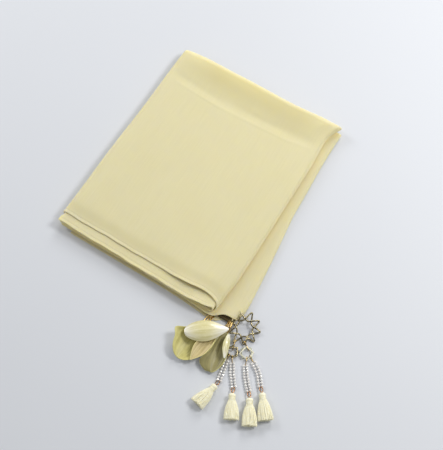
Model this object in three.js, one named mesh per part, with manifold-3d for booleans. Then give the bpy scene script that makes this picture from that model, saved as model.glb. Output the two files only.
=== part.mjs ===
// A hijab: one rectangular crepe shawl, folded into a flat packet that lies on a table, with the
// ornament sewn to its corner: a flower of five petals, a nine-pointed star ring, two small stars,
// four strands of beads and four tassels.
// Millimetres, +Z up. The origin is on the table, under the middle of the packet. +X runs along the
// packet's short edge and +Y along its long edge, away from the ornament.
import * as THREE from "three";
import { mergeVertices } from "three/addons/utils/BufferGeometryUtils.js";
import Module from "manifold-3d";

const wasm = await Module();
wasm.setup();

// ---------------------------------------------------------------- driving dimensions

const SHAWL_WIDTH = 750; // the cut of the shawl, before it was folded
const SHAWL_LENGTH = 1800;
const PACKET_WIDTH = SHAWL_WIDTH / 4; // it is folded 4 times across
const PACKET_LENGTH = SHAWL_LENGTH / 8; // and 8 times along

const WALL = 1.2; // thickness of a cloth wall
const GAP = 0.3; // between pieces that touch
const HEM_WIDTH = 2.5; // rolled hem
const HEM_PROUD = 0.35;

const LOWER_FILLING = 1.7; // height of the layers inside the under lap
const UPPER_FILLING = 1.3; // and inside the second lap

const RING_WIRE = 1.3; // diameter of the star ring's wire
const STAR_WIRE = 1.1;
const STEM_WIRE = 1.4;
const LINK_WIRE = 0.6;
const LINK_HALF = 1.45; // half the narrow way of a strand's links
const PETAL_WALL = 1.0;

// Height of the middle of each cloth wall, from the table up.
const LEVEL = { underLow: WALL / 2 };
LEVEL.filling = WALL + GAP;
LEVEL.underTop = LEVEL.filling + LOWER_FILLING + GAP + WALL / 2;
LEVEL.topLow = LEVEL.underTop + WALL + GAP;
LEVEL.secondLow = LEVEL.topLow + WALL + GAP;
LEVEL.upperFilling = LEVEL.secondLow + WALL / 2 + GAP;
LEVEL.secondTop = LEVEL.upperFilling + UPPER_FILLING + GAP + WALL / 2;
LEVEL.topTop = LEVEL.secondTop + WALL + GAP;

const LEFT_EDGE = -PACKET_WIDTH / 2 + 0.2; // outer face of the top lap on its left
const INNER_END = 8.6; // where the laps' hidden legs end, against the packed layers
const PACKED_FRONT = -PACKET_LENGTH / 2 - 6; // ends of the packed layers, before their insets
const PACKED_BACK = PACKET_LENGTH / 2 - 2;

// ---------------------------------------------------------------- outlines of the cloth

// Outer edge of the fold along the packet's right side, at each distance along the packet.
const TOP_FOLD = [
  { y: -118, x: 86.4 },
  { y: -109, x: 87.9 },
  { y: -96, x: 88.4 },
  { y: -81, x: 89.9 },
  { y: -60, x: 90.0 },
  { y: -17, x: 89.5 },
  { y: 10, x: 88.9 },
  { y: 48, x: 88.4 },
  { y: 70, x: 87.8 },
  { y: 95, x: 86.2 },
  { y: 106, x: 88.4 },
  { y: 116, x: 93.0 },
];
const UNDER_FOLD = [
  { y: -114, x: 107.9 },
  { y: -109, x: 110.0 },
  { y: -101, x: 111.5 },
  { y: -75, x: 109.4 },
  { y: -44, x: 106.0 },
  { y: -24, x: 103.6 },
  { y: 8, x: 99.5 },
  { y: 37, x: 98.0 },
  { y: 68, x: 96.0 },
  { y: 97, x: 95.2 },
  { y: 114, x: 95.6 },
];
// Front and back edges, at each distance across the packet.
const TOP_FRONT = [
  { x: -94, y: -108.5 },
  { x: 46, y: -108.5 },
  { x: 64, y: -107.2 },
  { x: 76, y: -107.0 },
  { x: 84, y: -109.5 },
  { x: 90, y: -113 },
];
const TOP_BACK = [
  { x: -94, y: 113 },
  { x: -84, y: 114.6 },
  { x: -66, y: 116 },
  { x: -40, y: 115.8 },
  { x: -16, y: 116 },
  { x: 34, y: 115.5 },
  { x: 68, y: 117.4 },
  { x: 93, y: 117.2 },
];
const SECOND_FRONT = [
  { x: -94, y: -118.3 },
  { x: 0, y: -119.4 },
  { x: 54, y: -120 },
  { x: 76, y: -118.8 },
  { x: 86, y: -116.6 },
];
const UNDER_FRONT_LOW = [
  { x: -80, y: -121 },
  { x: 30, y: -121.2 },
  { x: 50, y: -122 },
  { x: 66, y: -123.2 },
  { x: 78, y: -124.2 },
  { x: 84, y: -122.6 },
  { x: 90, y: -117.6 },
  { x: 97, y: -114.4 },
  { x: 112, y: -113.4 },
];
const UNDER_FRONT_TOP = [
  { x: 0, y: -119 },
  { x: 40, y: -119.6 },
  { x: 60, y: -120.8 },
  { x: 76, y: -122 },
  { x: 82, y: -120.2 },
  { x: 88, y: -115 },
  { x: 94, y: -113.6 },
  { x: 112, y: -113.4 },
];

// Soft ridges and troughs of the top lap: from one end to the other, half width and height.
const TOP_RELIEF = [
  { x0: -92, y0: 77, x1: -20, y1: 74, half: 6, height: -0.5 },
  { x0: -20, y0: 74, x1: 78, y1: 80, half: 6, height: -0.6 },
  { x0: 66, y0: 30, x1: 63, y1: -30, half: 6, height: -0.35 },
  { x0: 63, y0: -30, x1: 66, y1: -88, half: 6, height: -0.6 },
];
const TOP_CROWN = 0.9; // how far the middle of the top lap stands above its edges
const SECOND_LEFT = { front: -92.2, behind: -89.8, from: -113, over: 4 }; // it steps in past its hem
const SECOND_TUCK = { by: 1.9, from: 66, over: 18 }; // it draws in under the top lap's back corner
const SECOND_BACK = 105;
const UNDER_BACK = { left: 104, right: 107, corner: 5.4, cornerFrom: 74, cornerOver: 12 };
const UNDER_LEFT = -77;
const HIDDEN_FRONT = { top: -118.4, second: -119.4 }; // front edges of the two laps' hidden legs
const BACK_RISE = { from: 78, over: 28, height: 1.5 }; // the swell of the fold along its back
const MOUTH = { x: 56, halfWidth: 24, halfDepth: 26, lift: 1.9 }; // where its front edge lifts

// ---------------------------------------------------------------- small helpers

const clamp = (value, low, high) => Math.min(high, Math.max(low, value));
const mix = (a, b, t) => a + (b - a) * t;
const smooth = (t) => {
  const u = clamp(t, 0, 1);
  return u * u * (3 - 2 * u);
};
const bump = (distance, half) => Math.exp(-((distance / half) ** 2));

// The value of a table's column `out` where its column `key` is `at`, eased between rows.
function lookUp(table, key, out, at) {
  const last = table.length - 1;
  if (at <= table[0][key]) return table[0][out];
  if (at >= table[last][key]) return table[last][out];
  let row = 0;
  while (table[row + 1][key] < at) row += 1;
  const [a, b] = [table[row], table[row + 1]];
  const before = table[Math.max(0, row - 1)];
  const after = table[Math.min(last, row + 2)];
  const t = (at - a[key]) / (b[key] - a[key]);
  const span = b[key] - a[key];
  const slopeA = ((b[out] - before[out]) / (b[key] - before[key])) * span;
  const slopeB = ((after[out] - a[out]) / (after[key] - a[key])) * span;
  const t2 = t * t;
  const t3 = t2 * t;
  return (
    (2 * t3 - 3 * t2 + 1) * a[out] +
    (t3 - 2 * t2 + t) * slopeA +
    (3 * t2 - 2 * t3) * b[out] +
    (t3 - t2) * slopeB
  );
}

function toSolid(geometry) {
  const bare = geometry.clone();
  bare.deleteAttribute("normal");
  bare.deleteAttribute("uv");
  const merged = mergeVertices(bare, 1e-4);
  return new wasm.Manifold(
    new wasm.Mesh({
      numProp: 3,
      vertProperties: merged.attributes.position.array,
      triVerts: new Uint32Array(merged.index.array),
    }),
  );
}

function toGeometry(solid) {
  const mesh = solid.getMesh();
  const geometry = new THREE.BufferGeometry();
  geometry.setAttribute("position", new THREE.BufferAttribute(mesh.vertProperties, 3));
  geometry.setIndex(new THREE.BufferAttribute(mesh.triVerts, 1));
  geometry.computeVertexNormals();
  return geometry;
}

const joined = (geometries) =>
  toGeometry(geometries.map(toSolid).reduce((whole, solid) => whole.add(solid)));

// A closed wall round a grid of points on its middle surface. outer(i, j) is how far its outer face
// stands from the middle; the inner face is always half a wall away, and the rim is rounded.
function wallFromGrid(middle, wall, outer = () => wall / 2) {
  const rows = middle.length;
  const columns = middle[0].length;
  const at = (i, j) => middle[clamp(i, 0, rows - 1)][clamp(j, 0, columns - 1)];
  const points = [];
  const triangles = [];
  const quad = (a, b, c, d) => triangles.push(a, b, c, a, c, d);
  const faces = [[], []];
  for (let i = 0; i < rows; i += 1) {
    for (let j = 0; j < columns; j += 1) {
      const along = at(i + 1, j).clone().sub(at(i - 1, j));
      const across = at(i, j + 1).clone().sub(at(i, j - 1));
      const normal = along.cross(across).normalize();
      faces[0].push(points.push(at(i, j).clone().addScaledVector(normal, outer(i, j))) - 1);
      faces[1].push(points.push(at(i, j).clone().addScaledVector(normal, -wall / 2)) - 1);
    }
  }
  const index = (side, i, j) => faces[side][i * columns + j];
  for (let i = 0; i < rows - 1; i += 1) {
    for (let j = 0; j < columns - 1; j += 1) {
      quad(index(0, i, j), index(0, i + 1, j), index(0, i + 1, j + 1), index(0, i, j + 1));
      quad(index(1, i, j), index(1, i, j + 1), index(1, i + 1, j + 1), index(1, i + 1, j));
    }
  }
  const loop = [];
  for (let j = 0; j < columns - 1; j += 1) loop.push([0, j]);
  for (let i = 0; i < rows - 1; i += 1) loop.push([i, columns - 1]);
  for (let j = columns - 1; j > 0; j -= 1) loop.push([rows - 1, j]);
  for (let i = rows - 1; i > 0; i -= 1) loop.push([i, 0]);
  const rim = loop.map(([i, j]) => {
    const out = new THREE.Vector3();
    if (i === 0) out.add(at(0, j)).sub(at(1, j)).normalize();
    if (i === rows - 1) out.add(at(i, j).clone().sub(at(i - 1, j)).normalize());
    if (j === 0) out.add(at(i, 0).clone().sub(at(i, 1)).normalize());
    if (j === columns - 1) out.add(at(i, j).clone().sub(at(i, j - 1)).normalize());
    return points.push(at(i, j).clone().addScaledVector(out.normalize(), wall * 0.3)) - 1;
  });
  loop.forEach(([i, j], k) => {
    const [nextI, nextJ] = loop[(k + 1) % loop.length];
    const next = rim[(k + 1) % rim.length];
    quad(index(0, i, j), index(0, nextI, nextJ), next, rim[k]);
    quad(rim[k], next, index(1, nextI, nextJ), index(1, i, j));
  });
  const geometry = new THREE.BufferGeometry().setFromPoints(points);
  geometry.setIndex(triangles);
  geometry.computeVertexNormals();
  return geometry;
}

// A closed skin over a stack of rings with the same number of points: capped at both ends, or with
// its last ring joined to its first.
function skinFromRings(rings, endless = false) {
  const points = rings.flat();
  const sides = rings[0].length;
  const triangles = [];
  const bands = endless ? rings.length : rings.length - 1;
  for (let i = 0; i < bands; i += 1) {
    const above = ((i + 1) % rings.length) * sides;
    for (let j = 0; j < sides; j += 1) {
      const next = (j + 1) % sides;
      const [a, b] = [i * sides + j, i * sides + next];
      triangles.push(a, b, above + next, a, above + next, above + j);
    }
  }
  const last = (rings.length - 1) * sides;
  for (let j = 1; j < sides - 1 && !endless; j += 1) {
    triangles.push(0, j + 1, j, last, last + j, last + j + 1);
  }
  const geometry = new THREE.BufferGeometry().setFromPoints(points);
  geometry.setIndex(triangles);
  geometry.computeVertexNormals();
  return geometry;
}

const vector = ([x, y, z]) => new THREE.Vector3(x, y, z);
const UP = new THREE.Vector3(0, 0, 1);

// A round wire along an open run of points.
function wire(points, diameter, steps, sides) {
  const section = new THREE.Shape();
  section.absarc(0, 0, diameter / 2, 0, 2 * Math.PI, false);
  return new THREE.ExtrudeGeometry(section, {
    curveSegments: sides / 2,
    steps,
    extrudePath: new THREE.CatmullRomCurve3(points),
  });
}

// A round wire bent at each of its points, with its two ends joined.
function closedWire(points, diameter, sides) {
  const centre = points.reduce((sum, point) => sum.add(point), new THREE.Vector3());
  centre.divideScalar(points.length);
  const plane = new THREE.Vector3();
  points.forEach((point, k) => {
    const next = points[(k + 1) % points.length];
    plane.add(point.clone().sub(centre).cross(next.clone().sub(centre)));
  });
  plane.normalize();
  const rings = points.map((point, k) => {
    const before = points[(k + points.length - 1) % points.length];
    const after = points[(k + 1) % points.length];
    const arriving = point.clone().sub(before).normalize();
    const along = arriving.clone().add(after.clone().sub(point).normalize()).normalize();
    const outward = new THREE.Vector3().crossVectors(along, plane).normalize();
    const normal = new THREE.Vector3().crossVectors(outward, along);
    const mitre = 1 / Math.max(0.5, arriving.dot(along));
    return Array.from({ length: sides }, (_, side) => {
      const angle = (side / sides) * 2 * Math.PI;
      const out = (diameter / 2) * Math.cos(angle) * mitre;
      const rise = (-diameter / 2) * Math.sin(angle);
      return point.clone().addScaledVector(outward, out).addScaledVector(normal, rise);
    });
  });
  return skinFromRings(rings, true);
}

// ---------------------------------------------------------------- the cloth laps

// Distances of a lap's rows from its front edge, as shares of its length, and from its back edge.
const FRONT_ROWS = [0, HEM_WIDTH * 0.5, HEM_WIDTH, HEM_WIDTH + 0.8, 9, 17, 27, 40];
const MIDDLE_ROWS = [0.28, 0.4, 0.52, 0.64, 0.75];
const BACK_ROWS = [42, 30, 20, 10, 4.5, 3, 1.7, 0.8, 0];
const PLAIN_BACK_ROWS = [40, 18, 4, 0]; // of the laps with a flat back end

function lapRows(short) {
  const front = short ? FRONT_ROWS.filter((row, k) => k % 2 === 0 || k === 3) : FRONT_ROWS;
  const back = short ? PLAIN_BACK_ROWS : BACK_ROWS;
  return [
    ...front.map((d) => (a) => a + d),
    ...MIDDLE_ROWS.map((share) => (a, b) => mix(a, b, share)),
    ...back.map((d) => (a, b) => b - d),
  ];
}

// Stations round a lap's section: the low leg, the bend, the top leg and the skirt on its left.
function lapStations({ low, bend, top, skirt }) {
  const stations = [];
  for (let k = 0; k < low; k += 1) stations.push({ part: "low", t: k / low });
  for (let k = 0; k <= bend; k += 1) stations.push({ part: "bend", t: k / bend });
  for (let k = 1; k <= top; k += 1) stations.push({ part: "top", t: k / top });
  for (let k = 1; k <= skirt; k += 1) stations.push({ part: "skirt", t: k / skirt });
  return stations;
}

const SKIRT_TURN = 0.75; // share of a skirt's stations on its round shoulder

// One lap of the shawl, a wall whose section across the packet is a hairpin, open on the left.
function lapWall(lap) {
  const stations = lapStations(lap.counts);
  const pointOn = (station, y, back = Infinity) => {
    const fold = lap.foldAt(y) - WALL / 2;
    const bendX = fold - lap.bendDepth;
    const topZ = lap.topZ(y, back);
    const radius = (topZ - lap.lowZ) / 2;
    const { part, t } = station;
    if (part === "low") return { x: mix(lap.lowEnd, bendX, t), z: lap.lowZ, up: 0 };
    if (part === "bend") {
      const angle = (t - 0.5) * Math.PI;
      const x = bendX + lap.bendDepth * Math.cos(angle);
      const up = (1 + Math.sin(angle)) / 2;
      return { x, z: lap.lowZ + radius * (1 + Math.sin(angle)), up };
    }
    const leftX = lap.leftAt(y) + WALL / 2 + lap.skirtRadius;
    if (part === "top") return { x: mix(bendX, leftX, t), z: topZ, up: 1 };
    const turn = Math.min(1, t / SKIRT_TURN) * (Math.PI / 2);
    const fall = Math.max(0, t - SKIRT_TURN) / (1 - SKIRT_TURN);
    const drop = lap.skirtRadius * (1 - Math.cos(turn)) + lap.skirtFall * fall;
    const scale = (topZ - lap.skirtEnd) / (lap.skirtRadius + lap.skirtFall);
    return { x: leftX - lap.skirtRadius * Math.sin(turn), z: topZ - drop * scale, up: 1 };
  };
  const middle = lap.rows.map((row) =>
    stations.map((station) => {
      const { x, up } = pointOn(station, 0);
      const front = mix(lap.frontLow(x), lap.frontTop(x), up);
      const back = lap.backAt(x);
      const y = row(front, back);
      const point = pointOn(station, y, back);
      const raise = point.up * lap.relief(point.x, y, front, lap.foldAt(y));
      const skirted = station.part === "skirt" ? 1 - station.t : 1;
      return new THREE.Vector3(point.x, y, point.z + raise * skirted);
    }),
  );
  const hemRows = lap.hemmed ? lap.hemRows : 0;
  const outer = (i, j) => {
    const { part, t } = stations[j];
    const share = part === "low" ? 0 : part === "bend" ? t : 1;
    return WALL / 2 + (i < hemRows ? HEM_PROUD * share : 0);
  };
  return wallFromGrid(middle, WALL, outer);
}

function distanceToRun(x, y, run) {
  const [dx, dy] = [run.x1 - run.x0, run.y1 - run.y0];
  const t = clamp(((x - run.x0) * dx + (y - run.y0) * dy) / (dx * dx + dy * dy), 0, 1);
  return Math.hypot(x - run.x0 - dx * t, y - run.y0 - dy * t);
}

function topLap() {
  const backOver = 4.5; // length of the round fold at the back
  const backLow = LEVEL.topLow + WALL + 0.6;
  const shoulder = 16; // how far in from each side the lap reaches its full height
  const backAt = (x) => lookUp(TOP_BACK, "x", "y", x);
  return lapWall({
    counts: { low: 3, bend: 7, top: 18, skirt: 4 },
    rows: lapRows(false),
    hemmed: true,
    hemRows: 3,
    foldAt: (y) => lookUp(TOP_FOLD, "y", "x", y),
    leftAt: () => LEFT_EDGE,
    frontTop: (x) => lookUp(TOP_FRONT, "x", "y", x),
    frontLow: () => HIDDEN_FRONT.top,
    backAt,
    bendDepth: 3.2,
    lowEnd: INNER_END,
    lowZ: LEVEL.topLow,
    topZ: (y, back) => {
      const over = clamp((y - back + backOver) / backOver, 0, 1);
      return mix(LEVEL.topTop, backLow, 1 - Math.sqrt(1 - over * over));
    },
    skirtRadius: 3.4,
    skirtFall: 2.3,
    skirtEnd: LEVEL.topLow + 0.4,
    relief: (x, y, front, fold) => {
      const fromFold = fold - x;
      const inside = smooth(fromFold / shoulder) * smooth((x - LEFT_EDGE) / shoulder);
      const fromBack = smooth((backAt(x) - 2 - y) / 8);
      const fromFront = smooth((y - front - 4) / 13);
      const creases = TOP_RELIEF.map((run) => run.height * bump(distanceToRun(x, y, run), run.half));
      const body = creases.reduce((sum, value) => sum + value, TOP_CROWN);
      const swell = BACK_RISE.height * smooth((y - BACK_RISE.from) / BACK_RISE.over);
      const across = bump(x - MOUTH.x, MOUTH.halfWidth) * smooth(fromFold / 9);
      const mouth = MOUTH.lift * across * bump(y - front, MOUTH.halfDepth);
      return (Math.max(0, body) * fromFront + swell) * inside * fromBack + mouth;
    },
  });
}

function secondLap() {
  const inset = WALL + 2 * GAP; // how far its fold is inside the top lap's
  const tuck = (y) => SECOND_TUCK.by * smooth((y - SECOND_TUCK.from) / SECOND_TUCK.over);
  return lapWall({
    counts: { low: 3, bend: 6, top: 14, skirt: 0 },
    rows: lapRows(true),
    hemmed: true,
    hemRows: 2,
    foldAt: (y) => lookUp(TOP_FOLD, "y", "x", y) - inset - tuck(y),
    leftAt: (y) => {
      const { front, behind, from, over } = SECOND_LEFT;
      return mix(front, behind, smooth((y - from) / over));
    },
    frontTop: (x) => lookUp(SECOND_FRONT, "x", "y", x),
    frontLow: () => HIDDEN_FRONT.second,
    backAt: () => SECOND_BACK,
    bendDepth: 1.7,
    lowEnd: INNER_END,
    lowZ: LEVEL.secondLow,
    topZ: () => LEVEL.secondTop,
    skirtRadius: 0,
    skirtFall: 1,
    skirtEnd: 0,
    relief: (x, y, front) => 0.8 * bump(x - 70, 12) * bump(y - front, 7),
  });
}

function underLap() {
  return lapWall({
    counts: { low: 12, bend: 6, top: 9, skirt: 0 },
    rows: lapRows(true),
    hemmed: false,
    hemRows: 0,
    foldAt: (y) => lookUp(UNDER_FOLD, "y", "x", y),
    leftAt: () => INNER_END - WALL / 2,
    frontTop: (x) => lookUp(UNDER_FRONT_TOP, "x", "y", x),
    frontLow: (x) => lookUp(UNDER_FRONT_LOW, "x", "y", x),
    backAt: (x) => {
      const { left, right, corner, cornerFrom, cornerOver } = UNDER_BACK;
      const along = smooth((x - UNDER_LEFT) / (cornerFrom - UNDER_LEFT));
      return mix(left, right, along) + corner * smooth((x - cornerFrom) / cornerOver);
    },
    bendDepth: 2.2,
    lowEnd: UNDER_LEFT,
    lowZ: LEVEL.underLow,
    topZ: () => LEVEL.underTop,
    skirtRadius: 0,
    skirtFall: 1,
    skirtEnd: 0,
    relief: (x, y, front, fold) => {
      const covered = lookUp(TOP_FOLD, "y", "x", y) + 0.5;
      const free = smooth((x - covered) / 5) * smooth((fold - x) / 5);
      return free * (0.3 + 0.7 * bump(y - front, 12) * bump(x - 97, 8));
    },
  });
}

// The layers hidden between the laps: rounded slabs that sink a little into each other. inFront and
// inBack are how far each stops short of the packet's ends.
const SINK = 0.2;
const FILLING_TOP = LEVEL.filling + LOWER_FILLING;
const SPLIT = (FILLING_TOP + LEVEL.upperFilling) / 2;
const LAYERS = [
  { low: LEVEL.filling, high: FILLING_TOP, x0: -75, x1: 79, inFront: 0.3, inBack: 8.5 },
  { low: FILLING_TOP - SINK, high: SPLIT, x0: -88.6, x1: 7.8, inFront: -0.9, inBack: 0.1 },
  { low: SPLIT - SINK, high: LEVEL.upperFilling + SINK, x0: -91.2, x1: 7.8, inFront: 0.9, inBack: 1.3 },
  { low: LEVEL.upperFilling, high: LEVEL.upperFilling + UPPER_FILLING, x0: -90.6, x1: 52, inFront: -0.3,
    inBack: 3.7 },
];

function packedLayers() {
  const round = 0.45;
  const corner = 3;
  return joined(
    LAYERS.map(({ low, high, x0, x1, inFront, inBack }) => {
      const outline = new THREE.Shape();
      const [left, right] = [x0 + round, x1 - round];
      const [front, back] = [PACKED_FRONT + inFront + round, PACKED_BACK - inBack - round];
      outline.moveTo(left + corner, front);
      outline.lineTo(right - corner, front);
      outline.absarc(right - corner, front + corner, corner, -Math.PI / 2, 0, false);
      outline.absarc(right - corner, back - corner, corner, 0, Math.PI / 2, false);
      outline.absarc(left + corner, back - corner, corner, Math.PI / 2, Math.PI, false);
      outline.absarc(left + corner, front + corner, corner, Math.PI, Math.PI * 1.5, false);
      const slab = new THREE.ExtrudeGeometry(outline, {
        curveSegments: 3,
        depth: high - low - 2 * round,
        bevelThickness: round,
        bevelSize: round,
        bevelSegments: 1,
      });
      slab.translate(0, 0, low + round);
      return slab;
    }),
  );
}

// ---------------------------------------------------------------- the flower

// Each petal runs from base to tip. bow lifts the middle of its spine, arch is the half angle of
// its section, cup is 1 where its edges rise and -1 where they fall, roll turns it about its spine
// with its left edge up, widest is where along the spine it is widest, root is its width at the
// base and tipWidth at the tip, as shares of the full width, and swell and blunt below 1 round
// its two ends. Its left edge may turn over in a lip: how far out and up, and where on the spine.
const PETALS = [
  { name: "petal_top", base: [73.9, -149.6, 10.4], tip: [107.4, -126, 9.6], width: 20, bow: 2.2,
    arch: 38, cup: -1, roll: 2, widest: 0.44, root: 0.14, swell: 0.55, tipWidth: 0.08, blunt: 1,
    lip: { out: 0, up: 0, at: 0.5, half: 1 } },
  { name: "petal_left", base: [83.6, -135.6, 3.4], tip: [81, -172.6, 3.6], width: 28, bow: -1.4,
    arch: 36, cup: 1, roll: 11, widest: 0.58, root: 0.25, swell: 1, tipWidth: 0.1, blunt: 0.55,
    lip: { out: 6, up: 0.5, at: 0.42, half: 0.13 } },
  { name: "petal_middle", base: [98.3, -135.6, 6.1], tip: [92.4, -168.6, 6.4], width: 13.4, bow: -0.4,
    arch: 34, cup: 1, roll: 0, widest: 0.55, root: 0.5, swell: 1, tipWidth: 0.06, blunt: 1.1,
    lip: { out: 0, up: 0, at: 0.5, half: 1 } },
  { name: "petal_right", base: [106.2, -128.8, 3.2], tip: [114.4, -167.8, 3.2], width: 16, bow: -1,
    arch: 52, cup: 1, roll: 8, widest: 0.58, root: 0.3, swell: 1, tipWidth: 0.1, blunt: 0.7,
    lip: { out: 8, up: -3.4, at: 0.86, half: 0.2 } },
  { name: "petal_side", base: [110.2, -129.9, 7.5], tip: [118.2, -151.2, 6.9], width: 6.4, bow: 1.4,
    arch: 30, cup: -1, roll: 30, widest: 0.5, root: 0.4, swell: 1, tipWidth: 0.12, blunt: 0.9,
    lip: { out: 0, up: 0, at: 0.5, half: 1 } },
];

function petalOutline(share, { widest, root, swell, tipWidth, blunt }) {
  if (share < widest) return mix(root, 1, Math.sin((Math.PI / 2) * (share / widest)) ** swell);
  const rest = (share - widest) / (1 - widest);
  return mix(tipWidth, 1, Math.max(0, Math.cos((Math.PI / 2) * rest)) ** blunt);
}

// How much of a petal's lip there is at a place across it, from -1 at its right to 1 at its left.
function lipShare(place) {
  const start = 0.45;
  return Math.max(0, (place - start) / (1 - start)) ** 1.3;
}

function petalWall(petal) {
  const [lengthSteps, widthSteps] = [9, 6];
  const base = vector(petal.base);
  const spine = vector(petal.tip).sub(base);
  const arch = THREE.MathUtils.degToRad(petal.arch);
  const { lip } = petal;
  const side = new THREE.Vector3().crossVectors(spine, UP).normalize();
  side.applyAxisAngle(spine.clone().normalize(), -THREE.MathUtils.degToRad(petal.roll));
  const face = new THREE.Vector3().crossVectors(side, spine).normalize();
  const grid = [];
  for (let i = 0; i <= lengthSteps; i += 1) {
    const share = i / lengthSteps;
    const half = (petal.width / 2) * petalOutline(share, petal);
    const centre = base.clone().addScaledVector(spine, share);
    centre.z += petal.bow * Math.sin(Math.PI * share);
    const row = [];
    for (let j = 0; j <= widthSteps; j += 1) {
      const place = 2 * (j / widthSteps) - 1;
      const turn = arch * place;
      const flap = lipShare(place) * bump(share - lip.at, lip.half);
      const across = (half * Math.sin(turn)) / Math.sin(arch) + flap * lip.out;
      const rise = (petal.cup * half * (1 - Math.cos(turn))) / Math.sin(arch) + flap * lip.up;
      row.push(centre.clone().addScaledVector(side, across).addScaledVector(face, rise));
    }
    grid.push(row);
  }
  return wallFromGrid(grid, PETAL_WALL);
}

// A stem is three gold wires, soldered side by side inside the under lap, that fan out to the
// petals. Each stop of its run gives the middle wire's place and how far the others are from it.
const STEMS = [
  { name: "stem_left", run: [
    { at: [88, -107, 2.35], apart: 1.1 },
    { at: [87.2, -114, 2.4], apart: 1.2 },
    { at: [85.4, -123, 2.5], apart: 2.1 },
    { at: [84.2, -134.8, 1.9], apart: 2.9 },
  ] },
  { name: "stem_right", run: [
    { at: [104.2, -107, 2.35], apart: 1.1 },
    { at: [104.3, -113, 2.4], apart: 1.2 },
    { at: [104.8, -120, 2.5], apart: 1.9 },
    { at: [104.9, -128.6, 1.7], apart: 2.6 },
  ] },
];

function stem({ run }) {
  const wireRun = (side) => run.map(({ at: [x, y, z], apart }) => vector([x + side * apart, y, z]));
  return joined([-1, 0, 1].map((side) => wire(wireRun(side), STEM_WIRE, 6, 6)));
}

// ---------------------------------------------------------------- the stars

// The ring's wire runs twice round its middle and crosses over itself between the nine tips.
const STAR_RING = { x: 118.8, y: -115.9, z: 4.05, innerRadius: 6.8, highSide: 152, tilt: 10.9,
  weave: 0.74, crossing: 0.42, cornerCut: 0.12 };
// The corners that its tips are bent about, from the ring's centre, going round clockwise.
const RING_TIPS = [
  { angle: 134.5, reach: 14.6 },
  { angle: 95.5, reach: 17.6 },
  { angle: 59, reach: 16.6 },
  { angle: 20, reach: 16 },
  { angle: -21.5, reach: 16 },
  { angle: -60, reach: 16.1 },
  { angle: -96, reach: 18 },
  { angle: -130, reach: 15.8 },
  { angle: -183, reach: 15 },
];

const unit = (degrees) => {
  const angle = THREE.MathUtils.degToRad(degrees);
  return new THREE.Vector3(Math.cos(angle), Math.sin(angle), 0);
};

// The middle of the ring's wire at a place given flat, from the ring's centre.
function ringPoint(flat, weave = 0) {
  const { x, y, z, highSide, tilt } = STAR_RING;
  const slope = Math.tan(THREE.MathUtils.degToRad(tilt));
  const rise = flat.dot(unit(highSide)) * slope + weave;
  return new THREE.Vector3(x + flat.x, y + flat.y, z + rise);
}

function starRing() {
  const { innerRadius, weave, crossing, cornerCut } = STAR_RING;
  const stops = 2 * RING_TIPS.length;
  const corner = (count) => {
    const tip = RING_TIPS[count % RING_TIPS.length];
    return unit(tip.angle).multiplyScalar(count % 2 === 0 ? tip.reach : innerRadius);
  };
  const points = [];
  for (let count = 0; count < stops; count += 1) {
    const before = corner((count + stops - 1) % stops);
    const here = corner(count);
    const after = corner((count + 1) % stops);
    const turn = count % 2 === 0 ? -1 : 1;
    points.push(ringPoint(here.clone().lerp(before, crossing), turn * -weave));
    points.push(ringPoint(here.clone().lerp(before, cornerCut)));
    points.push(ringPoint(here.clone().lerp(after, cornerCut)));
  }
  return closedWire(points, RING_WIRE, 6);
}

const SMALL_STARS = [
  { name: "small_star_1", x: 120.8, y: -140.5, z: 1.85, corner: 6.1, turn: 163 },
  { name: "small_star_2", x: 132.7, y: -134.9, z: 1.85, corner: 6.5, turn: 127 },
];

const starCorner = ({ x, y, z, corner, turn }, eighth) =>
  unit(turn + eighth * 45).multiplyScalar(corner).add(new THREE.Vector3(x, y, z));

// A small star is two square frames of wire, one turned an eighth over the other.
function smallStar(star) {
  return joined(
    [0, 1].map((first) => {
      const points = [];
      for (let side = 0; side < 4; side += 1) {
        const at = (count) => starCorner(star, first + 2 * count);
        points.push(at(side).lerp(at(side + 3), 0.07), at(side).lerp(at(side + 1), 0.07));
      }
      return closedWire(points, STAR_WIRE, 5);
    }),
  );
}

// An oval of thin wire. Its long way runs between two points and its short way along `stand`.
function oval(from, to, stand, halfHeight) {
  const centre = from.clone().add(to).multiplyScalar(0.5);
  const long = to.clone().sub(from).multiplyScalar(0.5);
  const points = [];
  const steps = 10;
  for (let k = 0; k < steps; k += 1) {
    const angle = (k / steps) * 2 * Math.PI;
    const point = centre.clone().addScaledVector(long, Math.cos(angle));
    points.push(point.addScaledVector(stand, halfHeight * Math.sin(angle)));
  }
  return closedWire(points, LINK_WIRE, 4);
}

// Links that stand on edge, each round a wire of one star and a wire or strand beyond it. The first
// is the loop of thread that ties the ring to the cloth.
const [star1, star2] = SMALL_STARS;
const ringTip = (degrees, reach) => ringPoint(unit(degrees).multiplyScalar(reach));
const levelled = ({ x, y }, z) => new THREE.Vector3(x, y, z);
const inside = (star, share = 0.5) => ({ ...star, corner: star.corner * share });
const LINKS = [
  { name: "sewn_loop", from: levelled(ringTip(134.5, 17.2), 6.75), to: levelled(ringTip(134.5, 10.8), 6.75),
    half: 1.5 },
  { name: "link_ring_1", from: ringTip(-96, 13.6), to: starCorner(inside(star1, 0.2), -1), half: 1.95 },
  { name: "link_ring_2", from: levelled(ringTip(-60, 11.8), 2.1), to: starCorner(inside(star2), -1),
    half: 1.6 },
];

// ---------------------------------------------------------------- strands and tassels

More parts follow.
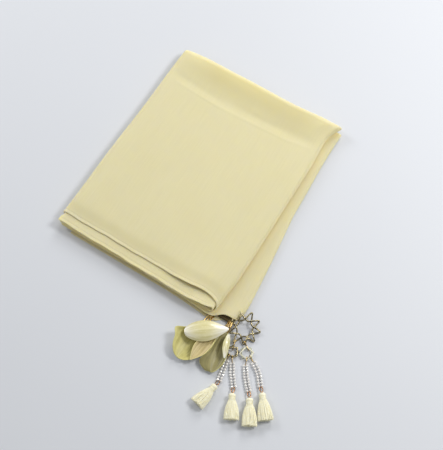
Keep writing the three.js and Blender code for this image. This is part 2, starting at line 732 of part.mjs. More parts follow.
// Each strand is two rows of beads side by side, hung on one corner of a small star, counted in
// eighths from its first. Its tassel follows on a link of its own.
const BEAD = 2.6;
const ROW_APART = 3.2; // between the middles of a strand's two rows
const STRANDS = [
  { star: star1, eighth: 2, run: [[120.6, -151], [122.6, -160], [124.6, -170]],
    head: [124.8, -175.8], end: [119.4, -200.2] },
  { star: star1, eighth: 3, run: [[126.6, -150.4], [131.8, -158.6], [139.1, -168.2]],
    head: [141.4, -174.4], end: [153.4, -196] },
  { star: star2, eighth: 4, run: [[138, -145.8], [144.4, -155], [152.8, -164.2]],
    head: [157, -169.8], end: [170.3, -192.4] },
  { star: star2, eighth: 5, run: [[143.2, -139.2], [151.8, -145.4], [159.6, -154.8]],
    head: [164.2, -159.8], end: [180.2, -180.2] },
];

const flatPoint = ([x, y], z) => new THREE.Vector3(x, y, z);

function strandLink({ star, eighth, run }) {
  const from = starCorner(inside(star), eighth);
  const start = flatPoint(run[0], star.z);
  const clear = start.clone().sub(from).normalize();
  return oval(from, start.addScaledVector(clear, -GAP - LINK_WIRE / 2), UP, LINK_HALF);
}

function tasselLink({ run, head }) {
  const [strandEnd, tasselTop] = [flatPoint(run[2], BEAD / 2), flatPoint(head, TASSEL.headRadius)];
  const along = tasselTop.clone().sub(strandEnd).normalize();
  const clear = GAP + LINK_WIRE / 2;
  const across = new THREE.Vector3().crossVectors(along, UP).normalize();
  return oval(
    strandEnd.addScaledVector(along, clear),
    tasselTop.addScaledVector(along, -clear),
    across,
    LINK_HALF,
  );
}

function beadStrand({ run }) {
  const path = new THREE.CatmullRomCurve3(run.map((point) => flatPoint(point, BEAD / 2 + 0.1)));
  const beads = Math.round(path.getLength() / BEAD);
  const halfWidth = (ROW_APART + BEAD) / 2;
  const rings = [];
  for (let k = 0; k <= 2 * beads; k += 1) {
    const share = k / (2 * beads);
    const centre = path.getPointAt(share);
    const across = new THREE.Vector3().crossVectors(path.getTangentAt(share), UP);
    const size = k % 2 === 1 ? 1 : 0.66;
    const ring = [];
    for (let side = 0; side < 6; side += 1) {
      const angle = ((side + 0.5) / 6) * 2 * Math.PI;
      const point = centre.clone().addScaledVector(across, -halfWidth * size * Math.cos(angle));
      point.z += (BEAD / 2) * size * Math.sin(angle);
      ring.push(point);
    }
    rings.push(ring);
  }
  return skinFromRings(rings);
}

// A tassel lies on the table: a wound head, and yarns that spread from it into a flat skirt.
// The rows of its head give the place along it and the radius there.
const TASSEL = {
  headLength: 7,
  headRadius: 3.2,
  skirtHalfWidth: 6.9,
  skirtHalfHeight: 3.1,
  yarn: 1.0,
  head: [
    { at: 0, radius: 1 },
    { at: 0.8, radius: 2.6 },
    { at: 2, radius: 3.2 },
    { at: 3.8, radius: 3.15 },
    { at: 4.4, radius: 2.85 },
    { at: 5.6, radius: 2.85 },
    { at: 7, radius: 3.1 },
  ],
  rings: [
    { count: 14, reach: 1 },
    { count: 8, reach: 0.58 },
    { count: 3, reach: 0.22 },
  ],
};

function tassel({ head, end }) {
  const { headLength, headRadius, skirtHalfWidth, skirtHalfHeight, yarn, rings } = TASSEL;
  const top = flatPoint(head, headRadius + 0.35);
  const foot = flatPoint(end, skirtHalfHeight + yarn / 2 + 0.5);
  const along = foot.clone().sub(top).normalize();
  const across = new THREE.Vector3().crossVectors(along, UP).normalize();
  const up = new THREE.Vector3().crossVectors(across, along);
  const place = (length, side, rise) =>
    top.clone().addScaledVector(along, length).addScaledVector(across, side).addScaledVector(up, rise);
  const headSides = 8;
  const headRings = TASSEL.head.map(({ at, radius }) =>
    Array.from({ length: headSides }, (_, side) => {
      const angle = (side / headSides) * 2 * Math.PI;
      return place(at, -radius * Math.cos(angle), radius * Math.sin(angle));
    }),
  );
  const parts = [skinFromRings(headRings)];
  const length = foot.distanceTo(top);
  rings.forEach(({ count, reach }, ringNumber) => {
    for (let k = 0; k < count; k += 1) {
      const angle = ((k + 0.5 * (ringNumber % 2)) / count) * 2 * Math.PI;
      const [side, rise] = [Math.cos(angle) * reach, Math.sin(angle) * reach];
      const trim = ((k * 5 + ringNumber * 3) % 4) * 0.35;
      const yarnRings = [
        { at: headLength - 0.8, spread: 0, half: yarn * 0.24 },
        { at: mix(headLength, length, 0.4), spread: 0.7, half: yarn * 0.5 },
        { at: length - trim, spread: 1, half: yarn * 0.5 },
      ].map(({ at, spread, half }) => {
        const wide = mix(headRadius * 0.72, skirtHalfWidth, spread) * side;
        const tall = mix(headRadius * 0.72, skirtHalfHeight, spread) * rise;
        return Array.from({ length: 3 }, (_, corner) => {
          const turn = (corner / 3) * 2 * Math.PI + angle;
          return place(at, wide - half * Math.cos(turn), tall + half * Math.sin(turn));
        });
      });
      parts.push(skinFromRings(yarnRings));
    }
  });
  return joined(parts);
}

// ---------------------------------------------------------------- the hijab

const finish = (color, roughness, metalness) =>
  new THREE.MeshStandardMaterial({ color, roughness, metalness });
const CREPE = finish(0xe6dfba, 0.75, 0);
const GOLD = finish(0xb9903f, 0.3, 1);
const PEARL = finish(0xd9d08f, 0.4, 0);
const CRYSTAL = finish(0xe8e8e6, 0.15, 0);
const YARN = finish(0xe9e0a8, 0.8, 0);

const hijab = new THREE.Group();

function add(name, geometry, material) {
  const mesh = new THREE.Mesh(geometry, material);
  mesh.name = name;
  hijab.add(mesh);
}

add("top_lap", topLap(), CREPE);
add("second_lap", secondLap(), CREPE);
add("under_lap", underLap(), CREPE);
add("packed_layers", packedLayers(), CREPE);

PETALS.forEach((petal) => add(petal.name, petalWall(petal), PEARL));
STEMS.forEach((row) => add(row.name, stem(row), GOLD));
add("star_ring", starRing(), GOLD);
SMALL_STARS.forEach((star) => add(star.name, smallStar(star), GOLD));
LINKS.forEach(({ name, from, to, half }) => add(name, oval(from, to, UP, half), GOLD));

STRANDS.forEach((strand, k) => {
  add(`link_strand_${k + 1}`, strandLink(strand), GOLD);
  add(`bead_strand_${k + 1}`, beadStrand(strand), CRYSTAL);
  add(`link_tassel_${k + 1}`, tasselLink(strand), GOLD);
  add(`tassel_${k + 1}`, tassel(strand), YARN);
});

export default hijab;
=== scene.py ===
"""A crepe hijab folded into a flat packet, with a petal flower and a tassel ornament sewn to it.

Sizes are in millimetres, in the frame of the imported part, and turned to metres where a mesh is made.
"""
import math

import bpy
from mathutils import Matrix, Vector, noise


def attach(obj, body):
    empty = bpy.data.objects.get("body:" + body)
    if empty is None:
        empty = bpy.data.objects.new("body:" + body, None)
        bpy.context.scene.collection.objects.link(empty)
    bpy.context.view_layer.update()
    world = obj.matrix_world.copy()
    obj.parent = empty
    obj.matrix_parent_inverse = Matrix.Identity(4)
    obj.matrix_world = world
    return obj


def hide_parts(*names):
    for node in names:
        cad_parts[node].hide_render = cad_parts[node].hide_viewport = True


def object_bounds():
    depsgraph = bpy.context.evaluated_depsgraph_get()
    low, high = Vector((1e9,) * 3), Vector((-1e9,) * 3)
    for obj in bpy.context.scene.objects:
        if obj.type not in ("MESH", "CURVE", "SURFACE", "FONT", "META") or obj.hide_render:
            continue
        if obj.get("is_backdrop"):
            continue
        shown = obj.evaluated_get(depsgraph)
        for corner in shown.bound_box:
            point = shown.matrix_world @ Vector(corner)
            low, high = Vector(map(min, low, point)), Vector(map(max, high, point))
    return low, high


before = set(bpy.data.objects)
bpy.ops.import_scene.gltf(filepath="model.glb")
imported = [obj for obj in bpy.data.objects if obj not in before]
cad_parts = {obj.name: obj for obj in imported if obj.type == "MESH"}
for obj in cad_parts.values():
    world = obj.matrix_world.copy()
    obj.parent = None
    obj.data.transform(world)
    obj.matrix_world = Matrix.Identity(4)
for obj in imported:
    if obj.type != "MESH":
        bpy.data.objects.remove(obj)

CAD_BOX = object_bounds()
MM = 0.001
UP = Vector((0, 0, 1))

# ------------------------------------------------------------------ sizes

WALL = 1.2  # the part's cloth wall, which the thin cloth here keeps the outer face of
CLOTH = 0.8  # thickness of the cloth as it shows
LAYER = 0.7  # thickness of a hidden layer
GAP = 0.3
HEM_WIDTH = 2.5
HEM_PROUD = 0.14
RING_WIRE = 1.56  # diameters of the wires as they show
STAR_WIRE = 1.2
THIN_STAR_WIRE = 0.9
STEM_WIRE = 1.4
LINK_WIRE = 0.6
TASSEL_LINK_WIRE = 0.96
LINK_HALF = 1.45  # half the narrow way of a strand's links
BEAD = 2.6
ROW_APART = 3.2  # between the two rows of beads in a strand
LEFT_EDGE = -93.55
INNER_END = 8.6
LEVEL = {
    "under_low": 0.6,
    "under_top": 4.1,
    "top_low": 5.6,
    "second_low": 7.1,
    "second_top": 10.2,
    "top_top": 11.7,
}

# Outer edges of the two folds on the right: distance along the packet, distance across.
TOP_FOLD = [
    (-118, 86.4), (-109, 87.9), (-96, 88.4), (-81, 89.9), (-60, 90.0), (-17, 89.5),
    (10, 88.9), (48, 88.4), (70, 87.8), (95, 86.2), (106, 88.4), (116, 93.0),
]
UNDER_FOLD = [
    (-114, 107.9), (-109, 110.0), (-101, 111.5), (-75, 109.4), (-44, 106.0), (-24, 103.6),
    (8, 99.5), (37, 98.0), (68, 96.0), (97, 95.2), (114, 95.6),
]
# Front and back edges: distance across the packet, distance along.
TOP_FRONT = [(-94, -108.5), (46, -108.5), (64, -107.2), (76, -107.0), (84, -109.5), (90, -113)]
TOP_BACK = [
    (-94, 113), (-84, 114.6), (-66, 116), (-40, 115.8), (-16, 116), (34, 115.5), (68, 117.4),
    (93, 117.2),
]
SECOND_FRONT = [(-94, -118.3), (0, -119.4), (54, -120), (76, -118.8), (86, -116.6)]
UNDER_FRONT_LOW = [
    (-80, -121), (30, -121.2), (50, -122), (66, -123.2), (78, -124.2), (84, -122.6), (90, -117.6),
    (97, -114.4), (112, -113.4),
]
UNDER_FRONT_TOP = [
    (0, -119), (40, -119.6), (60, -120.8), (76, -122), (82, -120.2), (88, -115), (94, -113.6),
    (112, -113.4),
]


# ------------------------------------------------------------------ small helpers


def clamp(value):
    return min(1.0, max(0.0, value))


def mix(a, b, t):
    return a + (b - a) * t


def ramp(value, start, end):
    """From 0 where a value is at `start` to 1 where it is at `end`, eased at both."""
    u = clamp((value - start) / (end - start))
    return u * u * (3 - 2 * u)


def bump(distance, half):
    return math.exp(-((distance / half) ** 2))


def look_up(table, at):
    """The second column of a table where its first is `at`, eased between rows."""
    if at <= table[0][0]:
        return table[0][1]
    if at >= table[-1][0]:
        return table[-1][1]
    row = next(k for k in range(len(table) - 1) if table[k + 1][0] >= at)
    (x0, y0), (x1, y1) = table[row], table[row + 1]
    before = table[max(0, row - 1)]
    after = table[min(len(table) - 1, row + 2)]
    span = x1 - x0
    t = (at - x0) / span
    slope0 = (y1 - before[1]) / (x1 - before[0]) * span
    slope1 = (after[1] - y0) / (after[0] - x0) * span
    t2, t3 = t * t, t * t * t
    return (
        (2 * t3 - 3 * t2 + 1) * y0
        + (t3 - 2 * t2 + t) * slope0
        + (3 * t2 - 2 * t3) * y1
        + (t3 - t2) * slope1
    )


def soft_noise(x, y, size, seed=0.0):
    """Gentle uneven height from about -1 to 1, with hollows about `size` across."""
    return noise.noise(Vector((x / size, y / size, seed)))


def smooth_run(points, count):
    """Evenly shared points on a Catmull-Rom curve through a few given ones."""
    path = [Vector(p) for p in points]
    spans = len(path) - 1
    out = []
    for k in range(count + 1):
        place = k / count * spans
        row = min(int(place), spans - 1)
        t = place - row
        p1, p2 = path[row], path[row + 1]
        p0 = path[row - 1] if row else p1 * 2 - p2
        p3 = path[row + 2] if row + 2 < len(path) else p2 * 2 - p1
        out.append(
            0.5 * (
                2 * p1
                + (p2 - p0) * t
                + (2 * p0 - 5 * p1 + 4 * p2 - p3) * t * t
                + (3 * p1 - p0 - 3 * p2 + p3) * t * t * t
            )
        )
    return out


# ------------------------------------------------------------------ meshes


def new_object(name, data):
    obj = bpy.data.objects.new(name, data)
    bpy.context.scene.collection.objects.link(obj)
    return obj


def mesh_object(name, points, faces, materials, face_slots=None, uvs=None):
    """A smooth mesh from points in millimetres. uvs holds one pair for each point."""
    mesh = bpy.data.meshes.new(name)
    mesh.from_pydata([Vector(p) * MM for p in points], [], faces)
    for material in materials:
        mesh.materials.append(material)
    if face_slots:
        mesh.polygons.foreach_set("material_index", face_slots)
    mesh.polygons.foreach_set("use_smooth", [True] * len(mesh.polygons))
    if uvs:
        layer = mesh.uv_layers.new(name="cloth")
        for loop in mesh.loops:
            layer.data[loop.index].uv = uvs[loop.vertex_index]
    mesh.validate()
    mesh.update()
    return new_object(name, mesh)


def path_object(name, paths, closed=False):
    """Edges along one or more runs of points, for the trees below to follow."""
    points, edges = [], []
    for path in paths:
        first = len(points)
        points += [Vector(p) * MM for p in path]
        edges += [(first + k, first + k + 1) for k in range(len(path) - 1)]
        if closed:
            edges.append((first + len(path) - 1, first))
    mesh = bpy.data.meshes.new(name)
    mesh.from_pydata(points, edges, [])
    return new_object(name, mesh)


RIM_STEPS = 6  # faces round a wall's rim


def wall_object(name, grid, uv_of, materials, outer, inner, slots=(0, 0, 0)):
    """A closed thin wall round a grid of points on its middle surface, with a round rim.

    outer(i, j) and inner(i, j) are the distances of its two faces from the grid. slots are the
    material slots of the outer face, the inner face and the rim.
    """
    rows, columns = len(grid), len(grid[0])
    points, uvs, faces, face_slots = [], [], [], []
    normals = []
    for i in range(rows):
        for j in range(columns):
            along = grid[min(i + 1, rows - 1)][j] - grid[max(i - 1, 0)][j]
            across = grid[i][min(j + 1, columns - 1)] - grid[i][max(j - 1, 0)]
            normals.append(along.cross(across).normalized())
    for side, sign, reach in ((0, 1, outer), (1, -1, inner)):
        for i in range(rows):
            for j in range(columns):
                points.append(grid[i][j] + normals[i * columns + j] * sign * reach(i, j))
                uvs.append(uv_of(i, j))
    size = rows * columns
    for i in range(rows - 1):
        for j in range(columns - 1):
            a, b = i * columns + j, (i + 1) * columns + j
            faces.append((a, b, b + 1, a + 1))
            faces.append((size + a, size + a + 1, size + b + 1, size + b))
            face_slots += [slots[0], slots[1]]
    loop = [(0, j) for j in range(columns - 1)]
    loop += [(i, columns - 1) for i in range(rows - 1)]
    loop += [(rows - 1, j) for j in range(columns - 1, 0, -1)]
    loop += [(i, 0) for i in range(rows - 1, 0, -1)]
    angles = [math.pi * k / RIM_STEPS for k in range(1, RIM_STEPS)]
    rim = []
    for i, j in loop:
        out = Vector()
        if i == 0:
            out += (grid[0][j] - grid[1][j]).normalized()
        if i == rows - 1:
            out += (grid[i][j] - grid[i - 1][j]).normalized()
        if j == 0:
            out += (grid[i][0] - grid[i][1]).normalized()
        if j == columns - 1:
            out += (grid[i][j] - grid[i][j - 1]).normalized()
        out.normalize()
        normal = normals[i * columns + j]
        top, low = outer(i, j), inner(i, j)
        edge = []
        for angle in angles:
            rise = math.cos(angle) * (top if angle < math.pi / 2 else low)
            reach = math.sin(angle) * (top + low) / 2
            edge.append(len(points))
            points.append(grid[i][j] + normal * rise + out * reach)
            uvs.append(uv_of(i, j))
        rim.append([i * columns + j, *edge, size + i * columns + j])
    for k, here in enumerate(rim):
        after = rim[(k + 1) % len(rim)]
        for step in range(len(here) - 1):
            faces.append((here[step], after[step], after[step + 1], here[step + 1]))
            face_slots.append(slots[2])
    return mesh_object(name, points, faces, materials, face_slots, uvs)


def even(thickness):
    """The two faces' distances from the grid, for a wall that is as thick everywhere."""
    return [lambda i, j: thickness / 2] * 2


# ------------------------------------------------------------------ node helpers

FLOAT, VECTOR = "NodeSocketFloat", "NodeSocketVector"
GEOMETRY, MATERIAL = "NodeSocketGeometry", "NodeSocketMaterial"
SOCKET_OF = {float: FLOAT, int: "NodeSocketInt"}


def is_socket(value):
    return isinstance(value, bpy.types.NodeSocket)


class Maker:
    """Adds nodes to one tree. Sockets go by name or number, and take a plain value or a socket."""

    def __init__(self, tree):
        self.tree = tree

    def fill(self, sockets, values):
        for key, value in values.items():
            if is_socket(value):
                self.tree.links.new(value, sockets[key])
            else:
                sockets[key].default_value = value

    def node(self, kind, inputs=None, **settings):
        """A new node's outputs."""
        made = self.tree.nodes.new(kind)
        for key, value in settings.items():
            setattr(made, key, value)
        self.fill(made.inputs, inputs or {})
        return made.outputs

    def add(self, kind, inputs=None, **settings):
        """A new node's first output."""
        return self.node(kind, inputs, **settings)[0]

    def sum(self, operation, a, b=0.0, c=0.0):
        return self.add("ShaderNodeMath", {0: a, 1: b, 2: c}, operation=operation)

    def noise(self, place, scale, detail=2.0, roughness=0.5):
        inputs = {"Vector": place, "Scale": scale, "Detail": detail, "Roughness": roughness}
        return self.add("ShaderNodeTexNoise", inputs)

    def blend(self, factor, low, high):
        """A mix of two colours, each a socket or three plain values."""
        low, high = (end if is_socket(end) else (*end, 1) for end in (low, high))
        return self.node("ShaderNodeMix", {"Factor": factor, 6: low, 7: high}, data_type="RGBA")[2]

    def stretch(self, place, scale):
        return self.add("ShaderNodeMapping", {"Vector": place, "Scale": scale})


def new_group(name, kind, inputs, outputs):
    """A maker for an empty node group, and the sockets that it is given and results in.

    Each input has its usual value or, where it has none, its type of socket.
    """
    tree = bpy.data.node_groups.new(name, kind)
    for in_out, rows in (("INPUT", inputs), ("OUTPUT", outputs)):
        for label, value in rows.items():
            plain = not isinstance(value, str)
            socket_type = SOCKET_OF[type(value)] if plain else value
            socket = tree.interface.new_socket(label, in_out=in_out, socket_type=socket_type)
            if plain:
                socket.default_value = value
    given, result = tree.nodes.new("NodeGroupInput"), tree.nodes.new("NodeGroupOutput")
    return Maker(tree), given.outputs, result.inputs


# ------------------------------------------------------------------ shared shader groups

# Sizes in a node tree are in metres, and the scale of a noise is how many hollows a metre holds.
THREAD_PITCH = 0.00035
PEBBLE_SCALE, TONE_SCALE = 1400.0, 22.0
SLUB_STRETCH = (900.0, 30.0, 1.0)
FINE_RATIO = 7.0  # how much finer than its mottling a handled surface's scuffs are
FULL_CONTRAST, ROUGHNESS_RANGE = 2.2, 0.16


def weave_group():
    """Crepe: twisted threads over and under, with a pebbly grain, and a slow change of tone."""
    make, given, result = new_group(
        "crepe_weave", "ShaderNodeTree",
        {"Place": VECTOR, "Thread pitch": THREAD_PITCH, "Grain": 0.5},
        {"Height": FLOAT, "Tone": FLOAT, "Slub": FLOAT},
    )
    place = given["Place"]
    turns = make.sum("DIVIDE", math.pi, given["Thread pitch"])
    warp, weft = [
        make.sum("SINE", make.sum("MULTIPLY", way, turns))
        for way in make.node("ShaderNodeSeparateXYZ", {0: place})[:2]
    ]
    crossing = make.sum("MULTIPLY", warp, weft)
    thread_height = 0.3
    grain = make.sum("MULTIPLY", make.noise(place, PEBBLE_SCALE, 3.0, 0.6), given["Grain"])
    make.fill(result, {
        "Height": make.sum("MULTIPLY_ADD", crossing, thread_height, grain),
        "Tone": make.noise(place, TONE_SCALE),
        "Slub": make.noise(make.stretch(place, SLUB_STRETCH), 1.0),
    })
    return make.tree


def wear_group():
    """Fine scuffs and a soft mottling, for the wires, the petals and the threads."""
    make, given, result = new_group(
        "handled_surface", "ShaderNodeTree",
        {"Scale": 300.0, "Contrast": 1.0, "Base roughness": 0.3},
        {"Mask": FLOAT, "Roughness": FLOAT, "Height": FLOAT},
    )
    place = make.node("ShaderNodeTexCoord")["Object"]
    centred = make.sum("SUBTRACT", make.noise(place, given["Scale"], 4.0, 0.55), 0.5)
    spread = make.sum("MULTIPLY", given["Contrast"], FULL_CONTRAST)
    mask = make.add("ShaderNodeClamp", {0: make.sum("MULTIPLY_ADD", centred, spread, 0.5)})
    change = make.sum("SUBTRACT", mask, 0.5)
    fine_scale = make.sum("MULTIPLY", given["Scale"], FINE_RATIO)
    make.fill(result, {
        "Mask": mask,
        "Roughness": make.sum("MULTIPLY_ADD", change, ROUGHNESS_RANGE, given["Base roughness"]),
        "Height": make.noise(place, fine_scale),
    })
    return make.tree


WEAVE = weave_group()
WEAR = wear_group()


# ------------------------------------------------------------------ materials


def new_material(name, constants):
    """A material whose shader has its plain values, and a maker for its tree."""
    material = bpy.data.materials.new(name)
    material.use_nodes = True
    make = Maker(material.node_tree)
    make.fill(material.node_tree.nodes["Principled BSDF"].inputs, constants)
    return material, make


def finish_material(material, make, colour, roughness, height, depth, strength=0.3):
    """Gives a material's shader its colour, its roughness and a relief of some depth."""
    relief = make.add("ShaderNodeBump", {"Height": height, "Strength": strength, "Distance": depth})
    sockets = material.node_tree.nodes["Principled BSDF"].inputs
    make.fill(sockets, {"Base Color": colour, "Roughness": roughness, "Normal": relief})
    return material


CREPE_TONES = [(0.890, 0.745, 0.395), (0.920, 0.782, 0.44)]
# Colours of the painted shade and of the painted highlight on the crepe.
CREPE_PAINTED_SHADE, CREPE_PAINTED_HIGHLIGHT = (0.74, 0.62, 0.31), (0.97, 0.88, 0.58)


def crepe():
    """Pale crepe, with painted shade where its painted-light attribute is over 0 and a painted
    highlight where it is under.
    """
    material, make = new_material(
        "crepe",
        {"Sheen Weight": 0.15, "Sheen Roughness": 0.45, "Sheen Tint": (1.0, 0.97, 0.86, 1),
         "Specular IOR Level": 0.25, "Subsurface Weight": 0.55, "Subsurface Scale": 0.004,
         "Subsurface Radius": (1.0, 0.85, 0.35)},
    )
    inputs = {
        "Place": make.add("ShaderNodeUVMap", uv_map="cloth"),
        "Thread pitch": THREAD_PITCH,
        "Grain": 0.6,
    }
    weave = make.node("ShaderNodeGroup", inputs, node_tree=WEAVE)
    slub_share, least_rough, rough_range = 0.06, 0.68, 0.12
    slubbed = make.blend(slub_share, make.blend(weave["Tone"], *CREPE_TONES), weave["Slub"])
    # Painted light: the attribute deepens the colour as painted shade above 0 and pales it as a painted
    # highlight below 0.
    painted_light = make.node("ShaderNodeAttribute", attribute_name="painted_light")["Fac"]
    highlight_share = make.sum("MULTIPLY", painted_light, -1.0)
    with_painted_shade = make.blend(painted_light, slubbed, CREPE_PAINTED_SHADE)
    with_painted_light = make.blend(highlight_share, with_painted_shade, CREPE_PAINTED_HIGHLIGHT)
    rough = make.sum("MULTIPLY_ADD", weave["Slub"], rough_range, least_rough)
    return finish_material(material, make, with_painted_light, rough, weave["Height"], 0.00012, 0.35)


def scuffs(make, scale, contrast, roughness):
    """The handled surface with a material's own values."""
    inputs = {"Scale": scale, "Contrast": contrast, "Base roughness": roughness}
    return make.node("ShaderNodeGroup", inputs, node_tree=WEAR)


def handled(name, low, high, scale, contrast, roughness, depth, constants):
    """A finish that runs between two colours, with fine scuffs in its roughness and height."""
    material, make = new_material(name, constants)
    worn = scuffs(make, scale, contrast, roughness)
    colour = make.blend(worn["Mask"], low, high)
    return finish_material(material, make, colour, worn["Roughness"], worn["Height"], depth)


METAL = {"Metallic": 1.0}
WIRE_DEPTH, THREAD_DEPTH = 0.00002, 0.00003

CREPE = crepe()
BRONZE = handled(
    "bronze_wire", (0.12, 0.10, 0.055), (0.52, 0.45, 0.26), 420.0, 1.8, 0.2, WIRE_DEPTH, METAL
)
GOLD = handled(
    "gold_wire", (0.50, 0.33, 0.12), (0.84, 0.62, 0.28), 500.0, 1.2, 0.24, WIRE_DEPTH, METAL
)
COPPER = handled(
    "dark_copper_wire", (0.26, 0.12, 0.06), (0.66, 0.40, 0.22), 500.0, 1.4, 0.24, WIRE_DEPTH, METAL
)
STEM_GOLD = handled(
    "reddish_gold_wire", (0.42, 0.24, 0.06), (0.94, 0.70, 0.28), 400.0, 1.6, 0.22, WIRE_DEPTH, METAL
)
CREAM_ENAMEL = handled(
    "cream_enamelled_wire", (0.80, 0.76, 0.56), (0.90, 0.87, 0.70), 500.0, 1.0, 0.28, WIRE_DEPTH,
    {"Coat Weight": 0.5, "Coat Roughness": 0.12},
)
GREY_WIRE = handled(
    "grey_wire", (0.34, 0.36, 0.24), (0.58, 0.58, 0.42), 500.0, 1.2, 0.3, WIRE_DEPTH,
    {"Metallic": 0.8},
)

STREAK_STRETCH = (7.0, 1.1, 1.0)  # streaks are narrow across a petal and long down it
STREAK_CONTRAST = 3.2
# A painted highlight at both ends of a petal: its strength and its colour.
PAINTED_HIGHLIGHT_STRENGTH = 3.6
PAINTED_HIGHLIGHT_COLOUR = (0.97, 0.95, 0.90)
PETAL_MIDDLE = 0.45  # how far up a petal its painted highlight is least


def petal_finish(name, low, high, coat, roughness, painted_end_highlight=0):
    """Pearl leathercloth: soft streaks that run down the petal, under a thin gloss.

    Its last argument is a painted highlight: how much whiter the petal is painted towards its two ends.
    """
    material, make = new_material(
        name, {"Coat Weight": coat, "Coat Roughness": 0.2, "Sheen Weight": 0.1}
    )
    place = make.add("ShaderNodeUVMap", uv_map="cloth")
    streaks = make.noise(make.stretch(place, STREAK_STRETCH), 1.0, 2.5, 0.6)
    worn = scuffs(make, 260.0, 1.0, roughness)
    centred = make.sum("SUBTRACT", streaks, 0.5)
    strong = make.sum("MULTIPLY_ADD", centred, STREAK_CONTRAST, 0.5)
    streaked = make.blend(make.sum("MULTIPLY_ADD", worn["Mask"], 0.25, strong), low, high)
    # Painted highlight: paler towards both ends of the petal, following the streaks.
    along = make.node("ShaderNodeSeparateXYZ", {"Vector": place})[1]
    off_middle = make.sum("ABSOLUTE", make.sum("SUBTRACT", along, PETAL_MIDDLE))
    ends = make.sum("MULTIPLY", make.sum("POWER", off_middle, 2), PAINTED_HIGHLIGHT_STRENGTH * painted_end_highlight)
    highlight_amount = make.sum("MULTIPLY", ends, make.sum("ADD", strong, 0.5))
    highlighted = make.blend(highlight_amount, streaked, PAINTED_HIGHLIGHT_COLOUR)
    return finish_material(material, make, highlighted, worn["Roughness"], worn["Height"], 0.00004)


# The pale outside, with the painted highlight at both ends.
PETAL_PEARL = petal_finish(
    "pearl_petal_outside", (0.60, 0.54, 0.22), (0.80, 0.74, 0.42), 0.8, 0.24, 1
)
PETAL_OLIVE = petal_finish("olive_petal_inside", (0.38, 0.34, 0.08), (0.70, 0.64, 0.24), 0.15, 0.42)
PETAL_TAN = petal_finish("tan_petal_inside", (0.40, 0.31, 0.11), (0.70, 0.58, 0.29), 0.15, 0.42)
# Painted shade: the olive inside made darker for the right petal, whose deep cup lies in shade.
PETAL_PAINTED_SHADE = petal_finish("painted_shade_petal_inside", (0.16, 0.14, 0.05), (0.36, 0.32, 0.13), 0.08, 0.5)

CUT_EDGE = {"Coat Weight": 0.2, "Coat Roughness": 0.3}
EDGE_PALE = handled(
    "pale_cut_edge", (0.86, 0.76, 0.28), (0.95, 0.87, 0.44), 200.0, 1.0, 0.45, THREAD_DEPTH, CUT_EDGE
)
EDGE_GREEN = handled(
    "green_cut_edge", (0.58, 0.55, 0.18), (0.72, 0.68, 0.30), 200.0, 1.0, 0.45, THREAD_DEPTH,
    CUT_EDGE,
)
CRYSTAL = handled(
    "clear_bead", (0.93, 0.87, 0.82), (1.0, 1.0, 0.97), 700.0, 2.2, 0.05, 0.00001,
    {"Transmission Weight": 0.1, "IOR": 1.6, "Coat Weight": 0.8, "Coat Roughness": 0.03},
)
YARN = handled(
    "tassel_yarn", (0.93, 0.86, 0.54), (1.0, 0.99, 0.82), 600.0, 1.0, 0.5, 0.00005,
    {"Sheen Weight": 0.4, "Sheen Roughness": 0.35},
)
# Painted shade: a dark brown thread that stands in for the deep shade in the under fold's mouth.
PAINTED_SHADE_THREAD = handled(
    "painted_shade_thread", (0.07, 0.045, 0.012), (0.16, 0.11, 0.035), 900.0, 1.0, 0.6, THREAD_DEPTH, {}
)
THREAD = handled(
    "sewing_thread", (0.66, 0.58, 0.33), (0.78, 0.71, 0.45), 900.0, 1.0, 0.6, THREAD_DEPTH,
    {"Sheen Weight": 0.2},
)


# ------------------------------------------------------------------ geometry trees

YARN_FACTS = ("turn", "reach", "trim", "sway")  # what each yarn's points carry inside the tree


def new_tree(name, inputs):
    """A geometry tree that takes its own inputs and a material, and results in a shape."""
    inputs = {**inputs, "Material": MATERIAL}
    return new_group(name, "GeometryNodeTree", inputs, {"Geometry": GEOMETRY})


def finish_tree(make, given, result, geometry):
    """Every tree ends with its instances realized and its material set."""
    real = make.add("GeometryNodeRealizeInstances", {0: geometry})
    inputs = {"Geometry": real, "Material": given["Material"]}
    make.fill(result, {0: make.add("GeometryNodeSetMaterial", inputs)})
    return make.tree


def tube(make, curve, radius, sides):
    """A round tube along a curve, with closed ends and smooth sides."""
    section = make.add("GeometryNodeCurvePrimitiveCircle", {"Resolution": sides, "Radius": radius})
    inputs = {"Curve": curve, "Profile Curve": section, "Fill Caps": True}
    swept = make.add("GeometryNodeCurveToMesh", inputs)
    return make.add("GeometryNodeSetShadeSmooth", {"Geometry": swept})


def set_along(make, given, spacing, piece, least_turn, most_turn, scale=(1.0, 1.0, 1.0)):
    """A piece repeated along the path's edges, each one turned a little at random."""
    curve = make.add("GeometryNodeMeshToCurve", {"Mesh": given["Path"]})
    inputs = {"Curve": curve, "Length": spacing}
    places = make.node("GeometryNodeCurveToPoints", inputs, mode="LENGTH")
    inputs = {0: least_turn, 1: most_turn, "Seed": given["Seed"]}
    spin = make.add("FunctionNodeRandomValue", inputs, data_type="FLOAT_VECTOR")
    turn = make.add("FunctionNodeEulerToRotation", {0: spin})
    inputs = {"Rotation": places["Rotation"], "Rotate By": turn}
    turned = make.add("FunctionNodeRotateRotation", inputs, rotation_space="LOCAL")
    return make.add(
        "GeometryNodeInstanceOnPoints",
        {"Points": places[0], "Instance": piece, "Rotation": turned, "Scale": scale},
    )


def wire_tree():
    """Round wire bent along the edges that it is given."""
    make, given, result = new_tree(
        "bent_wire", {"Path": GEOMETRY, "Radius": 0.0005, "Bend": 0.001, "Sides": 10}
    )
    curve = make.add("GeometryNodeMeshToCurve", {"Mesh": given["Path"]})
    inputs = {"Curve": curve, "Radius": given["Bend"], "Count": 4, "Limit Radius": True}
    bent = make.add("GeometryNodeFilletCurve", inputs, mode="POLY")
    return finish_tree(make, given, result, tube(make, bent, given["Radius"], given["Sides"]))


